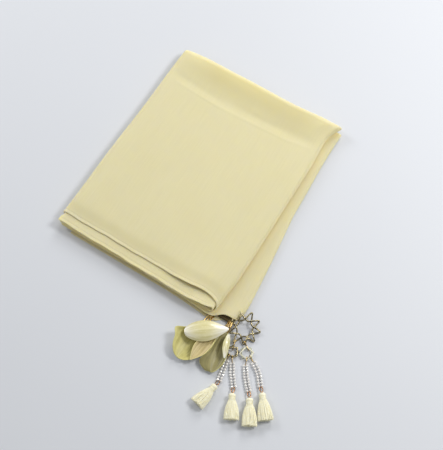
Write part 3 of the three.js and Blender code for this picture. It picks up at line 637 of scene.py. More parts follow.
def bead_tree():
    """Faceted beads threaded close together on the edges that it is given."""
    make, given, result = new_tree(
        "threaded_beads", {"Path": GEOMETRY, "Bead size": 0.0025, "Facets": 8, "Seed": 1}
    )
    size, overlap, tilt = given["Bead size"], 0.52, 0.25
    half = make.sum("MULTIPLY", size, overlap)
    inputs = {"Segments": given["Facets"], "Rings": 6, "Radius": half}
    bead = make.add("GeometryNodeMeshUVSphere", inputs)
    inputs = {"Geometry": bead, "Shade Smooth": False}
    faceted = make.add("GeometryNodeSetShadeSmooth", inputs)
    beads = set_along(
        make, given, size, faceted, (-tilt, -tilt, 0.0), (tilt, tilt, math.tau), (1.0, 1.0, 0.92)
    )
    return finish_tree(make, given, result, beads)


def stitch_tree():
    """Short stitches one after another on the edges that it is given."""
    make, given, result = new_tree(
        "hand_stitches",
        {"Path": GEOMETRY, "Pitch": 0.0022, "Stitch length": 0.0014, "Thread radius": 0.00016,
         "Seed": 3},
    )
    ends = [
        make.add("ShaderNodeCombineXYZ", {2: make.sum("MULTIPLY", given["Stitch length"], share)})
        for share in (-0.5, 0.5)
    ]
    line = make.add("GeometryNodeCurvePrimitiveLine", {"Start": ends[0], "End": ends[1]})
    stitch = tube(make, line, given["Thread radius"], 5)
    row = set_along(make, given, given["Pitch"], stitch, (-0.05, -0.12, 0.0), (0.05, 0.12, 1.0))
    return finish_tree(make, given, result, row)


def tassel_tree():
    """Yarns that leave a tassel's neck and spread into a flat skirt along +Z, and its binding."""
    make, given, result = new_tree(
        "tassel_yarns",
        {"Head": GEOMETRY, "Yarns": 130, "Start": 0.006, "Length": 0.027, "Neck": 0.0019,
         "Half width": 0.0066, "Half height": 0.0031, "Yarn radius": 0.00036,
         "Binding turns": 5.0, "Binding start": 0.0041, "Binding height": 0.0018, "Seed": 1},
    )
    golden = math.pi * (3 - math.sqrt(5))
    uneven_ends, wander, fullness = 0.0011, 0.00035, 2.4
    binding_radius, binding_proud = 0.0003, 0.0001

    def draw(least, most):
        """A random value for each yarn."""
        inputs = {2: least, 3: most, "Seed": given["Seed"]}
        return make.node("FunctionNodeRandomValue", inputs, data_type="FLOAT")[1]

    index = make.add("GeometryNodeInputIndex")
    share = make.sum("DIVIDE", make.sum("ADD", index, 0.5), given["Yarns"])
    facts = (
        make.sum("MULTIPLY", index, golden), make.sum("SQRT", share),
        draw(0.0, uneven_ends), draw(-1.0, 1.0),
    )
    held = make.add("GeometryNodePoints", {"Count": given["Yarns"]})
    for label, value in zip(YARN_FACTS, facts):
        inputs = {"Geometry": held, "Name": label, "Value": value}
        held = make.add(
            "GeometryNodeStoreNamedAttribute", inputs, data_type="FLOAT", domain="POINT"
        )
    line = make.add("GeometryNodeCurvePrimitiveLine", {"End": (0.0, 0.0, 1.0)})
    stepped = make.add("GeometryNodeResampleCurve", {"Curve": line, "Count": 9})
    many = make.add("GeometryNodeInstanceOnPoints", {"Points": held, "Instance": stepped})
    real = make.add("GeometryNodeRealizeInstances", {0: many})
    turn, reach, trim, sway = [
        make.add("GeometryNodeInputNamedAttribute", {"Name": label}, data_type="FLOAT")
        for label in YARN_FACTS
    ]
    along = make.add("GeometryNodeSplineParameter")
    left = make.sum("SUBTRACT", 1.0, along)
    spread = make.sum("SUBTRACT", 1.0, make.sum("POWER", left, fullness))
    wave = make.sum("SINE", make.sum("MULTIPLY_ADD", along, 5.0, turn))
    drift = make.sum("MULTIPLY", make.sum("MULTIPLY", wave, sway), along)

    def sideways(wide, direction):
        gain = make.sum("SUBTRACT", wide, given["Neck"])
        radius = make.sum("MULTIPLY_ADD", gain, spread, given["Neck"])
        spoke = make.sum("MULTIPLY", make.sum(direction, turn), reach)
        return make.sum("MULTIPLY_ADD", drift, wander, make.sum("MULTIPLY", radius, spoke))

    span = make.sum("SUBTRACT", given["Length"], given["Start"])
    down = make.sum("MULTIPLY_ADD", along, make.sum("SUBTRACT", span, trim), given["Start"])
    place = make.add(
        "ShaderNodeCombineXYZ",
        {0: sideways(given["Half width"], "COSINE"), 1: sideways(given["Half height"], "SINE"),
         2: down},
    )
    laid = make.add("GeometryNodeSetPosition", {"Geometry": real, "Position": place})
    yarns = tube(make, laid, given["Yarn radius"], 5)
    neck = make.sum("ADD", given["Neck"], binding_proud)
    spiral = make.add(
        "GeometryNodeCurveSpiral",
        {"Resolution": 16, "Rotations": given["Binding turns"], "Start Radius": neck,
         "End Radius": neck, "Height": given["Binding height"]},
    )
    lift = make.add("ShaderNodeCombineXYZ", {2: given["Binding start"]})
    lifted = make.add("GeometryNodeTransform", {"Geometry": spiral, "Translation": lift})
    binding = tube(make, lifted, binding_radius, 6)
    together = make.tree.nodes.new("GeometryNodeJoinGeometry")
    for part in (binding, yarns, given["Head"]):
        make.tree.links.new(part, together.inputs[0])
    return finish_tree(make, given, result, together.outputs[0])


WIRE_TREE = wire_tree()
BEAD_TREE = bead_tree()
STITCH_TREE = stitch_tree()
TASSEL_TREE = tassel_tree()


def grow(obj, tree, values, place=None):
    """Runs a tree on an object and leaves the result as its plain mesh."""
    modifier = obj.modifiers.new(tree.name, "NODES")
    modifier.node_group = tree
    for item in tree.interface.items_tree:
        if item.in_out == "INPUT" and item.name in values:
            modifier[item.identifier] = values[item.name]
    depsgraph = bpy.context.evaluated_depsgraph_get()
    made = bpy.data.meshes.new_from_object(obj.evaluated_get(depsgraph), depsgraph=depsgraph)
    obj.modifiers.remove(modifier)
    for label in YARN_FACTS:
        if label in made.attributes:
            made.attributes.remove(made.attributes[label])
    if place:
        made.transform(place)
    made.name = obj.name
    obj.data = made
    return obj


def settle(obj, slot_name, *nodes):
    """Every piece rides on the one body and stands for its nodes. Its slot's name is not used."""
    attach(obj, "root")
    if nodes:
        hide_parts(*nodes)
    return obj


def join_objects(name, parts):
    """Several mesh objects made one, each left where it is."""
    bpy.ops.object.select_all(action="DESELECT")
    for part in parts:
        part.select_set(True)
    bpy.context.view_layer.objects.active = parts[0]
    bpy.ops.object.join()
    whole = parts[0]
    whole.name = name
    whole.data.name = name
    return whole


# ------------------------------------------------------------------ camera, light and floor

# Where the camera and each soft light stand: the side that each is on, seen from above with 0 at
# the back and 90 on the right, its height, and how far from its target, which for the lights is
# the middle of the floor. Distance and size of a light are in metres.
CAMERA = {"turn": 148.112, "rise": 65.74, "far": 973.061, "target": (43.647, -35.825, 0),
          "lens": 79.2, "sensor": 36}
LIGHTS = {
    "window_light": {"turn": 50, "rise": 47, "far": 1.15, "size": 0.36, "power": 6.2,
                     "colour": (1.0, 0.995, 0.985)},
    "back_light": {"turn": -10, "rise": 32, "far": 2.0, "size": 0.9, "power": 14.8,
                   "colour": (1.0, 0.99, 0.97)},
    "left_light": {"turn": -84, "rise": 32, "far": 1.3, "size": 0.5, "power": 4.7,
                   "colour": (1.0, 1.0, 1.0)},
}
SKY_COLOUR, SKY_STRENGTH = (0.86, 0.87, 0.885, 1), 0.43
FLOOR_HALF, FLOOR_DROP = 3000, 0.05
FLOOR_COLOURS = [(0.680, 0.700, 0.738), (0.700, 0.720, 0.758)]


def stand(name, data, row, target, far):
    """A camera or a light set up at its place and turned to look back at the target."""
    turn, rise = math.radians(row["turn"]), math.radians(row["rise"])
    away = Vector((
        math.sin(turn) * math.cos(rise), math.cos(turn) * math.cos(rise), math.sin(rise)
    ))
    obj = new_object(name, data)
    obj.location = target + away * far
    obj.rotation_mode = "QUATERNION"
    obj.rotation_quaternion = away.to_track_quat("Z", "Y")
    return obj


def make_camera():
    data = bpy.data.cameras.new("camera")
    data.lens = CAMERA["lens"]
    data.sensor_width = CAMERA["sensor"]
    target, far = Vector(CAMERA["target"]) * MM, CAMERA["far"] * MM
    bpy.context.scene.camera = stand("camera", data, CAMERA, target, far)


def make_lights():
    for name, row in LIGHTS.items():
        data = bpy.data.lights.new(name, "AREA")
        data.shape = "DISK"
        data.size = row["size"]
        data.energy = row["power"]
        data.color = row["colour"]
        stand(name, data, row, Vector(), row["far"])
    world = bpy.data.worlds.new("studio")
    world.use_nodes = True
    sky = world.node_tree.nodes["Background"]
    sky.inputs[0].default_value = SKY_COLOUR
    sky.inputs[1].default_value = SKY_STRENGTH
    bpy.context.scene.world = world
    bpy.context.scene.view_settings.view_transform = "Standard"


def make_floor():
    material = handled("pale_floor", *FLOOR_COLOURS, 3.0, 0.6, 0.6, 0.00005, {})
    corners = [
        (x * FLOOR_HALF, y * FLOOR_HALF, -FLOOR_DROP)
        for x, y in ((-1, -1), (1, -1), (1, 1), (-1, 1))
    ]
    floor = mesh_object("floor", corners, [(0, 1, 2, 3)], [material])
    floor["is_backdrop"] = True


make_camera()
make_lights()
make_floor()


# ------------------------------------------------------------------ the cloth


def lap_stations(low, bend, top, skirt):
    """Stations round a lap's section: the low leg, the bend, the top leg and the skirt."""
    stations = [("low", k / low) for k in range(low)]
    stations += [("bend", k / bend) for k in range(bend + 1)]
    stations += [("top", k / top) for k in range(1, top + 1)]
    stations += [("skirt", k / skirt) for k in range(1, skirt + 1)]
    return stations


SKIRT_TURN = 0.75  # share of a skirt's stations on its round shoulder


def lap_point(lap, station, y, back=math.inf):
    """A station's place across and up, and how much it belongs to the top leg."""
    part, t = station
    fold = lap["fold"](y) - WALL / 2
    bend_x = fold - lap["bend"]
    top_z, low_z = lap["top_z"](y, back), lap["low_z"]
    if part == "low":
        return mix(lap["low_end"], bend_x, t), low_z, 0
    if part == "bend":
        angle = (t - 0.5) * math.pi
        up = (1 + math.sin(angle)) / 2
        return bend_x + lap["bend"] * math.cos(angle), low_z + (top_z - low_z) * up, up
    left_x = lap["left"](y) + WALL / 2 + lap["skirt_radius"]
    if part == "top":
        return mix(bend_x, left_x, t), top_z, 1
    turn = min(1, t / SKIRT_TURN) * (math.pi / 2)
    fall = max(0, t - SKIRT_TURN) / (1 - SKIRT_TURN)
    drop = lap["skirt_radius"] * (1 - math.cos(turn)) + lap["skirt_fall"] * fall
    scale = (top_z - lap["skirt_end"]) / (lap["skirt_radius"] + lap["skirt_fall"])
    return left_x - lap["skirt_radius"] * math.sin(turn), top_z - drop * scale, 1


def lap_rows(front_rows, middle, back_rows):
    """Functions that give each row's distance along, from the front and back edges there."""
    rows = [lambda a, b, d=d: a + d for d in front_rows]
    first, last = front_rows[-1], back_rows[0]
    rows += [lambda a, b, s=k / middle: mix(a + first, b - last, s) for k in range(1, middle)]
    rows += [lambda a, b, d=d: b - d for d in back_rows]
    return rows


# A rolled hem, as shares of its width: where it stands highest, half its roll, where it ends, and
# the line pressed beside it, whose depth and half width are in millimetres.
HEM = {"crown": 0.46, "half": 0.52, "end": 1.5, "line": 1.08, "line_depth": 0.08, "line_half": 0.35}
HEM_STRAY = [(0.24, 8.5, 0), (0.16, 3.4, 1)]  # height, length and start of its two waves
# Strengths of the painted highlight on the rolled hem and of the painted shade just behind it.
HEM_PAINTED_HIGHLIGHT, BESIDE_PAINTED_SHADE = 0.22, 0.3
HEM_FADE = 0.6  # how far either side of the hem's own edge its painted highlight fades
BESIDE_FROM, BESIDE_TO = (4, 8), (17, 10)  # from the cut edge, the two soft sides of the band of painted shade


def hem_profile(distance, proud):
    """How far a rolled hem stands up at a distance from the cut edge."""
    if distance >= HEM_WIDTH * HEM["end"]:
        return 0.0
    from_crown = (distance - HEM_WIDTH * HEM["crown"]) / (HEM_WIDTH * HEM["half"])
    roll = math.sqrt(max(0.0, 1 - from_crown ** 2))
    line = bump(distance - HEM_WIDTH * HEM["line"], HEM["line_half"])
    return proud * roll - HEM["line_depth"] * line


def hem_wander(x):
    """How far a hand-turned hem strays from its line."""
    return sum(height * math.sin(x / length + start) for height, length, start in HEM_STRAY)


def hem_painted_light(distance):
    """A painted highlight on the rolled hem, and a band of painted shade on the cloth just behind it.
    """
    hem = ramp(distance, HEM_WIDTH + HEM_FADE, HEM_WIDTH - HEM_FADE)
    beside = ramp(distance, *BESIDE_FROM) * ramp(distance, *BESIDE_TO)
    return BESIDE_PAINTED_SHADE * beside - HEM_PAINTED_HIGHLIGHT * hem


def lap_cloth(name, lap):
    """One lap of the shawl: a thin hairpin shell with its creases and its hem."""
    stations = lap_stations(*lap["counts"])
    distances, grid, facts, tones = [], [], [], []
    for row in lap["rows"]:
        line, fact = [], []
        for station in stations:
            x, _, up = lap_point(lap, station, 0)
            front = mix(lap["front_low"](x), lap["front_top"](x), up)
            back = lap["back"](x)
            y = row(front, back)
            x, z, up = lap_point(lap, station, y, back)
            raise_by = up * lap["relief"](x, y, front, lap["fold"](y))
            skirted = 1 - station[1] if station[0] == "skirt" else 1
            line.append(Vector((x, y, z + raise_by * skirted)))
            fact.append((y - front, up if station[0] != "low" else 0))
            tones.append(lap["tone"](x, y, y - front, back) if station[0] != "low" else 0)
        grid.append(line)
        facts.append(fact)
    middle_row = grid[len(grid) // 2]
    travelled = 0.0
    for k, point in enumerate(middle_row):
        travelled += (point - middle_row[k - 1]).length if k else 0.0
        distances.append(travelled)

    def uv_of(i, j):
        return distances[j] * MM, grid[i][j].y * MM

    def outer(i, j):
        distance, share = facts[i][j]
        hem = hem_profile(distance, HEM_PROUD) * share if lap["hemmed"] else 0
        return WALL / 2 + hem

    def inner(i, j):
        distance, share = facts[i][j]
        hem = hem_profile(distance, HEM_PROUD * 0.5) * share if lap["hemmed"] else 0
        return CLOTH - WALL / 2 + max(0, hem)

    obj = wall_object(name, grid, uv_of, [CREPE], outer, inner)
    # Painted light at each point: painted shade where over 0, a painted highlight where under.
    painted_light = obj.data.attributes.new("painted_light", "FLOAT", "POINT")
    for index, tone in enumerate(tones):
        painted_light.data[index].value = tone
    return obj, grid


HEM_ROWS = [0, 0.3, 0.6, 1.0, 1.4, 1.8, 2.2, 2.5, 2.8, 3.2, 3.8, 5, 7, 9.5, 12, 15, 18, 22, 26]
BACK_EDGE = [
    *range(49, 30, -1), 29, 27, 25, 22, 19, 16, 14, 12, 10, 8, 6.4, 5.2, 4.4, 3.7, 3, 2.4, 1.8, 1.3,
    0.9, 0.5, 0.2, 0,
]


CREASE_UNEVEN = {"half": 0.2, "height": 0.3}  # how much of a crease's size comes and goes


def crease(x, y, run):
    """Height of a soft trough or ridge along a bent line, with an uneven depth and width."""
    nearest = math.inf
    for (x0, y0), (x1, y1) in zip(run["line"], run["line"][1:]):
        dx, dy = x1 - x0, y1 - y0
        t = clamp(((x - x0) * dx + (y - y0) * dy) / (dx * dx + dy * dy))
        nearest = min(nearest, math.hypot(x - x0 - dx * t, y - y0 - dy * t))
    half = run["half"] * (1 + CREASE_UNEVEN["half"] * math.sin(x / 13 + y / 9))
    height = run["height"] * (1 + CREASE_UNEVEN["height"] * soft_noise(x, y, 24, 9.1))
    return height * bump(nearest, half)


# Creases of the top fold: the line that each follows, its half width and its height.
TOP_CREASES = [
    {"line": [(-92, 80), (-20, 77), (78, 83)], "half": 5, "height": -0.45},
    {"line": [(-78, 73), (-27, 70), (54, 73), (80, 78)], "half": 1.6, "height": 0.16},
    {"line": [(66, 30), (63, -30), (66, -88)], "half": 6, "height": -0.5},
    {"line": [(78, 70), (78, 20)], "half": 4, "height": -0.3},
    {"line": [(-90, -64), (-40, -88), (20, -97)], "half": 9, "height": -0.3},
    {"line": [(-84, 66), (-86, 0), (-84, -70)], "half": 5, "height": -0.25},
]
TOP_CROWN = 0.9
SHOULDER = 16  # how far in from each side the top fold reaches its full height
BACK_OVER = 3.4  # length of its round turn at the back
BACK_CLEAR = 0.6  # how far over the next fold that turn stops
BACK_SWELL = {"between": (80, 106), "height": 1.9}  # the rise along its back
# How its front edge lifts in a mouth, and ripples and droops beside it.
MOUTH = {"x": 56, "half_width": 24, "half_depth": 26, "lift": 1.9}
FRONT_RIPPLE = {"height": 0.22, "size": 30, "half": 10}
FRONT_DROOP = {"height": 0.5, "half": 5}
PAINTED_SHADE_BAND = 0.85  # painted shade: how much darker the fold is painted behind its crease line


def top_back(x):
    return look_up(TOP_BACK, x)


def top_relief(x, y, front, fold):
    """Height of the top fold's face over its level."""
    from_fold, from_front = fold - x, y - front
    inside = ramp(from_fold, 0, SHOULDER) * ramp(x - LEFT_EDGE, 0, SHOULDER)
    off_back, off_front = ramp(top_back(x) - y, 1, 7), ramp(from_front, 4, 17)
    unrest = 0.16 * soft_noise(x, y, 46, 1.3) + 0.07 * soft_noise(x, y, 17, 4.1)
    body = TOP_CROWN + sum(crease(x, y, run) for run in TOP_CREASES) + unrest
    swell = BACK_SWELL["height"] * ramp(y, *BACK_SWELL["between"])
    across = bump(x - MOUTH["x"], MOUTH["half_width"]) * ramp(from_fold, 0, 9)
    mouth = MOUTH["lift"] * across * bump(from_front, MOUTH["half_depth"])
    ripple = FRONT_RIPPLE["height"] * soft_noise(x, y, FRONT_RIPPLE["size"], 7.7)
    ripple *= bump(from_front, FRONT_RIPPLE["half"])
    droop = FRONT_DROOP["height"] * bump(from_front, FRONT_DROOP["half"]) * (1 - across)
    rise = (max(0, body) * off_front + swell) * inside * off_back
    return rise + mouth + max(0, ripple) - droop


def top_height(y, back):
    """The back edge turns over, down to the second fold."""
    turned = clamp((y - back + BACK_OVER) / BACK_OVER)
    low = LEVEL["top_low"] + WALL + BACK_CLEAR
    return mix(LEVEL["top_top"], low, 1 - math.sqrt(1 - turned * turned))


def top_painted_light(x, y, distance, back):
    """Painted shade on the band behind the crease line, strongest next to the back edge, added to the
    hem's painted light.
    """
    across = ramp(x, -84, -44) * ramp(x, 86, 46)
    band = ramp(y, 70, 104) * ramp(back - y, 2.5, 5.5)
    return hem_painted_light(distance) + PAINTED_SHADE_BAND * band * mix(0.35, 1, across)


TOP_LAP = {
    "counts": (4, 16, 84, 14),
    "rows": lap_rows(HEM_ROWS, 44, BACK_EDGE),
    "hemmed": True,
    "fold": lambda y: look_up(TOP_FOLD, y),
    "left": lambda y: LEFT_EDGE + 0.35 * math.sin(y / 19),
    "front_top": lambda x: look_up(TOP_FRONT, x) + hem_wander(x),
    "front_low": lambda x: -118.4,
    "back": top_back,
    "bend": 3.2,
    "low_end": INNER_END,
    "low_z": LEVEL["top_low"],
    "top_z": top_height,
    "skirt_radius": 3.4,
    "skirt_fall": 2.3,
    "skirt_end": LEVEL["top_low"] + 0.4,
    "relief": top_relief,
    "tone": top_painted_light,
}
NO_SKIRT = {"skirt_radius": 0, "skirt_fall": 1, "skirt_end": 0}
SECOND_LIP = {"x": 70, "half_width": 12, "half_depth": 7, "lift": 0.8}  # under the top fold's mouth
SECOND_INSET = {"edge": 0.3, "back": 1.9, "between": (66, 84)}  # from the top fold's outer edge


def second_fold(y):
    """Just inside the top fold's outer edge, and further in at the back."""
    back = SECOND_INSET["back"] * ramp(y, *SECOND_INSET["between"])
    return look_up(TOP_FOLD, y) - WALL - GAP - SECOND_INSET["edge"] - back


def second_relief(x, y, front, fold):
    """The second fold lifts into the top fold's mouth, and ripples a little along its hem."""
    across = bump(x - SECOND_LIP["x"], SECOND_LIP["half_width"])
    lip = SECOND_LIP["lift"] * across * bump(y - front, SECOND_LIP["half_depth"])
    return lip + 0.2 * max(0, soft_noise(x, y, 24, 2.2)) * bump(y - front, 5)


SECOND_LAP = {
    "counts": (4, 12, 84, 0),
    "rows": lap_rows(HEM_ROWS[:15], 16, [20, 4, 0]),
    "hemmed": True,
    "fold": second_fold,
    "left": lambda y: mix(-92.2, -89.8, ramp(y, -113, -109)),
    "front_top": lambda x: look_up(SECOND_FRONT, x) + hem_wander(x + 40),
    "front_low": lambda x: -119.4,
    "back": lambda x: 105,
    "bend": 1.7,
    "low_end": INNER_END,
    "low_z": LEVEL["second_low"],
    "top_z": lambda y, back: LEVEL["second_top"],
    **NO_SKIRT,
    "relief": second_relief,
    # Half the hem's painted highlight and painted shade.
    "tone": lambda x, y, distance, back: 0.5 * hem_painted_light(distance),
}
UNDER_CORNER = {"x": 97, "half_width": 8, "half_depth": 12, "lift": 0.7}
UNDER_BACK = {"left": 104, "middle": 107, "corner_out": 5.4}


def under_relief(x, y, front, fold):
    """Where the top fold leaves the under fold free, it swells a little."""
    covered = look_up(TOP_FOLD, y) + 0.5
    free = ramp(x, covered, covered + 5) * ramp(fold - x, 0, 5)
    across = bump(x - UNDER_CORNER["x"], UNDER_CORNER["half_width"])
    corner = UNDER_CORNER["lift"] * bump(y - front, UNDER_CORNER["half_depth"]) * across
    return free * (0.3 + corner + 0.25 * soft_noise(x, y, 22, 5.5))


def under_back(x):
    """The under fold's back edge, with a corner that stands out on the right."""
    middle = mix(UNDER_BACK["left"], UNDER_BACK["middle"], ramp(x, -77, 74))
    return middle + UNDER_BACK["corner_out"] * ramp(x, 74, 86)


UNDER_LAP = {
    "counts": (40, 12, 40, 0),
    "rows": lap_rows(HEM_ROWS[:1] + HEM_ROWS[3:], 40, [20, 10, 4, 1, 0]),
    "hemmed": False,
    "fold": lambda y: look_up(UNDER_FOLD, y),
    "left": lambda y: INNER_END - WALL / 2,
    "front_top": lambda x: look_up(UNDER_FRONT_TOP, x),
    "front_low": lambda x: look_up(UNDER_FRONT_LOW, x),
    "back": under_back,
    "bend": 2.2,
    "low_end": -77,
    "low_z": LEVEL["under_low"],
    "top_z": lambda y, back: LEVEL["under_top"],
    **NO_SKIRT,
    "relief": under_relief,
    "tone": lambda x, y, distance, back: 0,
}

# The layers hidden between the laps, each group one length of cloth folded to and fro. Every
# layer has its height, and where it starts and ends across and along the packet.
INNER_GROUPS = [
    [(1.95, -75, 78.4, -118.0, 102), (2.80, -74.2, 78.4, -117.2, 101)],
    [(3.75, -88.2, 7.6, -119.0, 110.0), (4.60, -88.2, 7.4, -118.0, 109.2),
     (5.45, -88.8, 7.4, -118.9, 108.4), (6.30, -90.8, 7.2, -117.2, 109.0),
     (7.15, -90.8, 7.2, -117.0, 108.0), (7.90, -90.4, 7.0, -117.5, 108.6)],
    [(8.72, -90.2, 51.6, -118.4, 106.4)],
]
LAYER_STEPS, TURN_STEPS = 24, 6  # along a layer, and round the turn to the next one
LAYER_WANDER = 0.45  # how far a layer's front and back edges stray
# Rows of points along the packet, as shares of a layer's length, closer together at its ends.
LAYER_SHARES = [0, 0.004, 0.012, 0.03, 0.08, 0.2, 0.35, 0.5, 0.65, 0.8, 0.92, 0.97, 1]


def inner_group(layers):
    """Middle line of a group: places across and up, with the number of the layer."""
    stations = []
    for number, (z, left, right, _, _) in enumerate(layers):
        to_left = number % 2 == 0
        start, end = (right, left) if to_left else (left, right)
        for k in range(LAYER_STEPS + 1):
            stations.append((mix(start, end, k / LAYER_STEPS), z, float(number)))
        if number + 1 == len(layers):
            break
        following = layers[number + 1]
        radius = (following[0] - z) / 2
        for k in range(1, TURN_STEPS):
            share = k / TURN_STEPS
            angle = math.pi * share
            x = mix(end, following[1 if to_left else 2], share)
            out = radius * math.sin(angle) * (-1 if to_left else 1)
            stations.append((x + out, z + radius * (1 - math.cos(angle)), number + share))
    return stations


def inner_layers():
    """The hidden layers, as one mesh of a few folded lengths of cloth."""
    parts = []
    for group_number, layers in enumerate(INNER_GROUPS):
        stations = inner_group(layers)

        def edge(number, column, x):
            low = int(number)
            high = min(low + 1, len(layers) - 1)
            base = mix(layers[low][column], layers[high][column], number - low)
            return base + LAYER_WANDER * math.sin(x / 21 + number * 1.9 + group_number)

        grid = [
            [
                Vector((x, mix(edge(number, 3, x), edge(number, 4, x), share), z))
                for x, z, number in stations
            ]
            for share in LAYER_SHARES
        ]
        travelled = [0.0]
        for before, after in zip(stations, stations[1:]):
            step = Vector(after[:2]) - Vector(before[:2])
            travelled.append(travelled[-1] + step.length)

        def uv_of(i, j):
            return travelled[j] * MM, grid[i][j].y * MM

        parts.append(wall_object(f"inner_{group_number}", grid, uv_of, [CREPE], *even(LAYER)))
    return join_objects("inner_folds", parts)


STITCH_ROW = HEM_ROWS.index(2.8)
STITCH_SUNK = 0.02


def hem_stitches(name, lap, grid):
    """A row of stitches that holds a lap's rolled hem down, laid on the cloth's upper face."""
    low, bend, top, _ = lap["counts"]
    lift = Vector((0, 0, WALL / 2 - STITCH_SUNK))
    line = [grid[STITCH_ROW][j] + lift for j in range(low + bend + 2, low + bend + top)]
    obj = grow(path_object(name, [line]), STITCH_TREE, {"Material": THREAD})
    return settle(obj, "sewing_thread")


top_cloth, top_grid = lap_cloth("top_fold", TOP_LAP)
second_cloth, second_grid = lap_cloth("second_fold", SECOND_LAP)
under_cloth, _ = lap_cloth("under_fold", UNDER_LAP)
inner_cloth = inner_layers()

settle(top_cloth, "crepe", "top_lap")
settle(second_cloth, "crepe", "second_lap")
settle(under_cloth, "crepe", "under_lap")
settle(inner_cloth, "crepe", "packed_layers")

top_stitches = hem_stitches("top_hem_stitches", TOP_LAP, top_grid)
second_stitches = hem_stitches("second_hem_stitches", SECOND_LAP, second_grid)


# ------------------------------------------------------------------ the flower

# As the part's petals: base and tip of the spine, width, bow of the spine, half angle of the
# section, cup 1 where the edges rise, roll, where the outline is widest, its root and tip as shares
# of that width, how round its two ends are, and the lip that its left edge may turn over in: how
# far out and up, and where on the spine. Its finishes are for the underside, the top and the edge.
NO_LIP = dict(out=0, up=0, at=0.5, half=1)
PETALS = {
    "petal_top": dict(
        base=(73.9, -149.6, 10.4), tip=(107.4, -126, 9.6), width=20, bow=2.2, arch=38, cup=-1,
        roll=2, widest=0.44, root=0.14, swell=0.55, tip_width=0.08, blunt=1, lip=NO_LIP,
        finishes=(PETAL_OLIVE, PETAL_PEARL, EDGE_PALE),
    ),
    "petal_left": dict(
        base=(83.6, -135.6, 3.4), tip=(81, -172.6, 3.6), width=28, bow=-1.4, arch=36, cup=1,
        roll=11, widest=0.58, root=0.25, swell=1, tip_width=0.1, blunt=0.55,
        lip=dict(out=6, up=0.5, at=0.42, half=0.13),
        finishes=(PETAL_PEARL, PETAL_OLIVE, EDGE_GREEN),
    ),
    "petal_middle": dict(
        base=(98.3, -135.6, 6.1), tip=(92.4, -168.6, 6.4), width=13.4, bow=-0.4, arch=34, cup=1,
        roll=0, widest=0.55, root=0.5, swell=1, tip_width=0.06, blunt=1.1, lip=NO_LIP,
        finishes=(PETAL_PEARL, PETAL_TAN, EDGE_PALE),
    ),
    "petal_right": dict(
        base=(106.2, -128.8, 3.2), tip=(114.4, -167.8, 3.2), width=16, bow=-1, arch=52, cup=1,
        roll=8, widest=0.58, root=0.3, swell=1, tip_width=0.1, blunt=0.7,
        lip=dict(out=8, up=-3.4, at=0.86, half=0.2),
        finishes=(PETAL_PEARL, PETAL_PAINTED_SHADE, EDGE_GREEN),
    ),
    "petal_side": dict(
        base=(110.2, -129.9, 7.5), tip=(118.2, -151.2, 6.9), width=6.4, bow=1.4, arch=30, cup=-1,
        roll=30, widest=0.5, root=0.4, swell=1, tip_width=0.12, blunt=0.9, lip=NO_LIP,
        finishes=(PETAL_OLIVE, PETAL_PEARL, EDGE_GREEN),
    ),
}
PETAL_WALL = 0.7
PETAL_RIPPLE, PETAL_DENTS = 0.25, 0.25
PETAL_RIDGE = {"height": 0.22, "half": 0.12}
PETAL_STEPS = 44, 26  # faces along a petal and across it
LIP_START = 0.45  # how far across a petal its lip begins, from -1 at its right to 1


def petal_outline(share, petal):
    """Width at a share of the petal's length, as a share of its widest."""
    widest = petal["widest"]
    if share < widest:
        opened = math.sin(math.pi / 2 * share / widest) ** petal["swell"]
        return mix(petal["root"], 1, opened)
    rest = (share - widest) / (1 - widest)
    return mix(petal["tip_width"], 1, max(0.0, math.cos(math.pi / 2 * rest)) ** petal["blunt"])


def make_petal(node_name, petal, number):
    """A petal cut from pearl leathercloth and pressed to a cup, with a soft ridge down it."""
    length_steps, width_steps = PETAL_STEPS
    base, tip = Vector(petal["base"]), Vector(petal["tip"])
    spine = tip - base
    side = spine.cross(UP).normalized()
    side = Matrix.Rotation(-math.radians(petal["roll"]), 3, spine.normalized()) @ side
    face = side.cross(spine).normalized()
    arch, cup, lip = math.radians(petal["arch"]), petal["cup"], petal["lip"]
    grid = []
    for i in range(length_steps + 1):
        share = i / length_steps
        half = petal["width"] / 2 * petal_outline(share, petal)
        centre = base + spine * share
        centre.z += petal["bow"] * math.sin(math.pi * share)
        row = []
        for j in range(width_steps + 1):
            place = 2 * j / width_steps - 1
            turn = arch * place
            turned_over = max(0, (place - LIP_START) / (1 - LIP_START)) ** 1.3
            flap = turned_over * bump(share - lip["at"], lip["half"])
            across = half * math.sin(turn) / math.sin(arch) + flap * lip["out"]
            rise = cup * half * (1 - math.cos(turn)) / math.sin(arch) + flap * lip["up"]
            ripple = PETAL_RIPPLE * place ** 2 * math.sin(7 * share + 1.7 * number + place)
            ridge = PETAL_RIDGE["height"] * bump(place, PETAL_RIDGE["half"])
            dents = PETAL_DENTS * soft_noise(place * 6, share * 14, 4, number)
            raised = rise + ripple + dents - cup * ridge * math.sin(math.pi * share)
            row.append(centre + side * across + face * raised)
        grid.append(row)

    def uv_of(i, j):
        return j / width_steps, i / length_steps

    name = node_name.replace("petal_", "") + "_petal"
    obj = wall_object(name, grid, uv_of, petal["finishes"], *even(PETAL_WALL), slots=(0, 1, 2))
    return settle(obj, "pearl_petal", node_name)


for number, (node_name, petal) in enumerate(PETALS.items()):
    make_petal(node_name, petal, number)

# Each stem's middle wire, and how far from it the two others are: across, along, up, apart.
STEMS = {
    "stem_left": [
        (88, -107, 2.35, 1.1), (87.2, -114, 2.4, 1.2), (85.4, -123, 2.5, 2.1), (84.2, -134.8, 1.9, 2.9),
    ],
    "stem_right": [
        (104.2, -107, 2.35, 1.1), (104.3, -113, 2.4, 1.2), (104.8, -120, 2.5, 1.9),
        (104.9, -128.6, 1.7, 2.6),
    ],
}


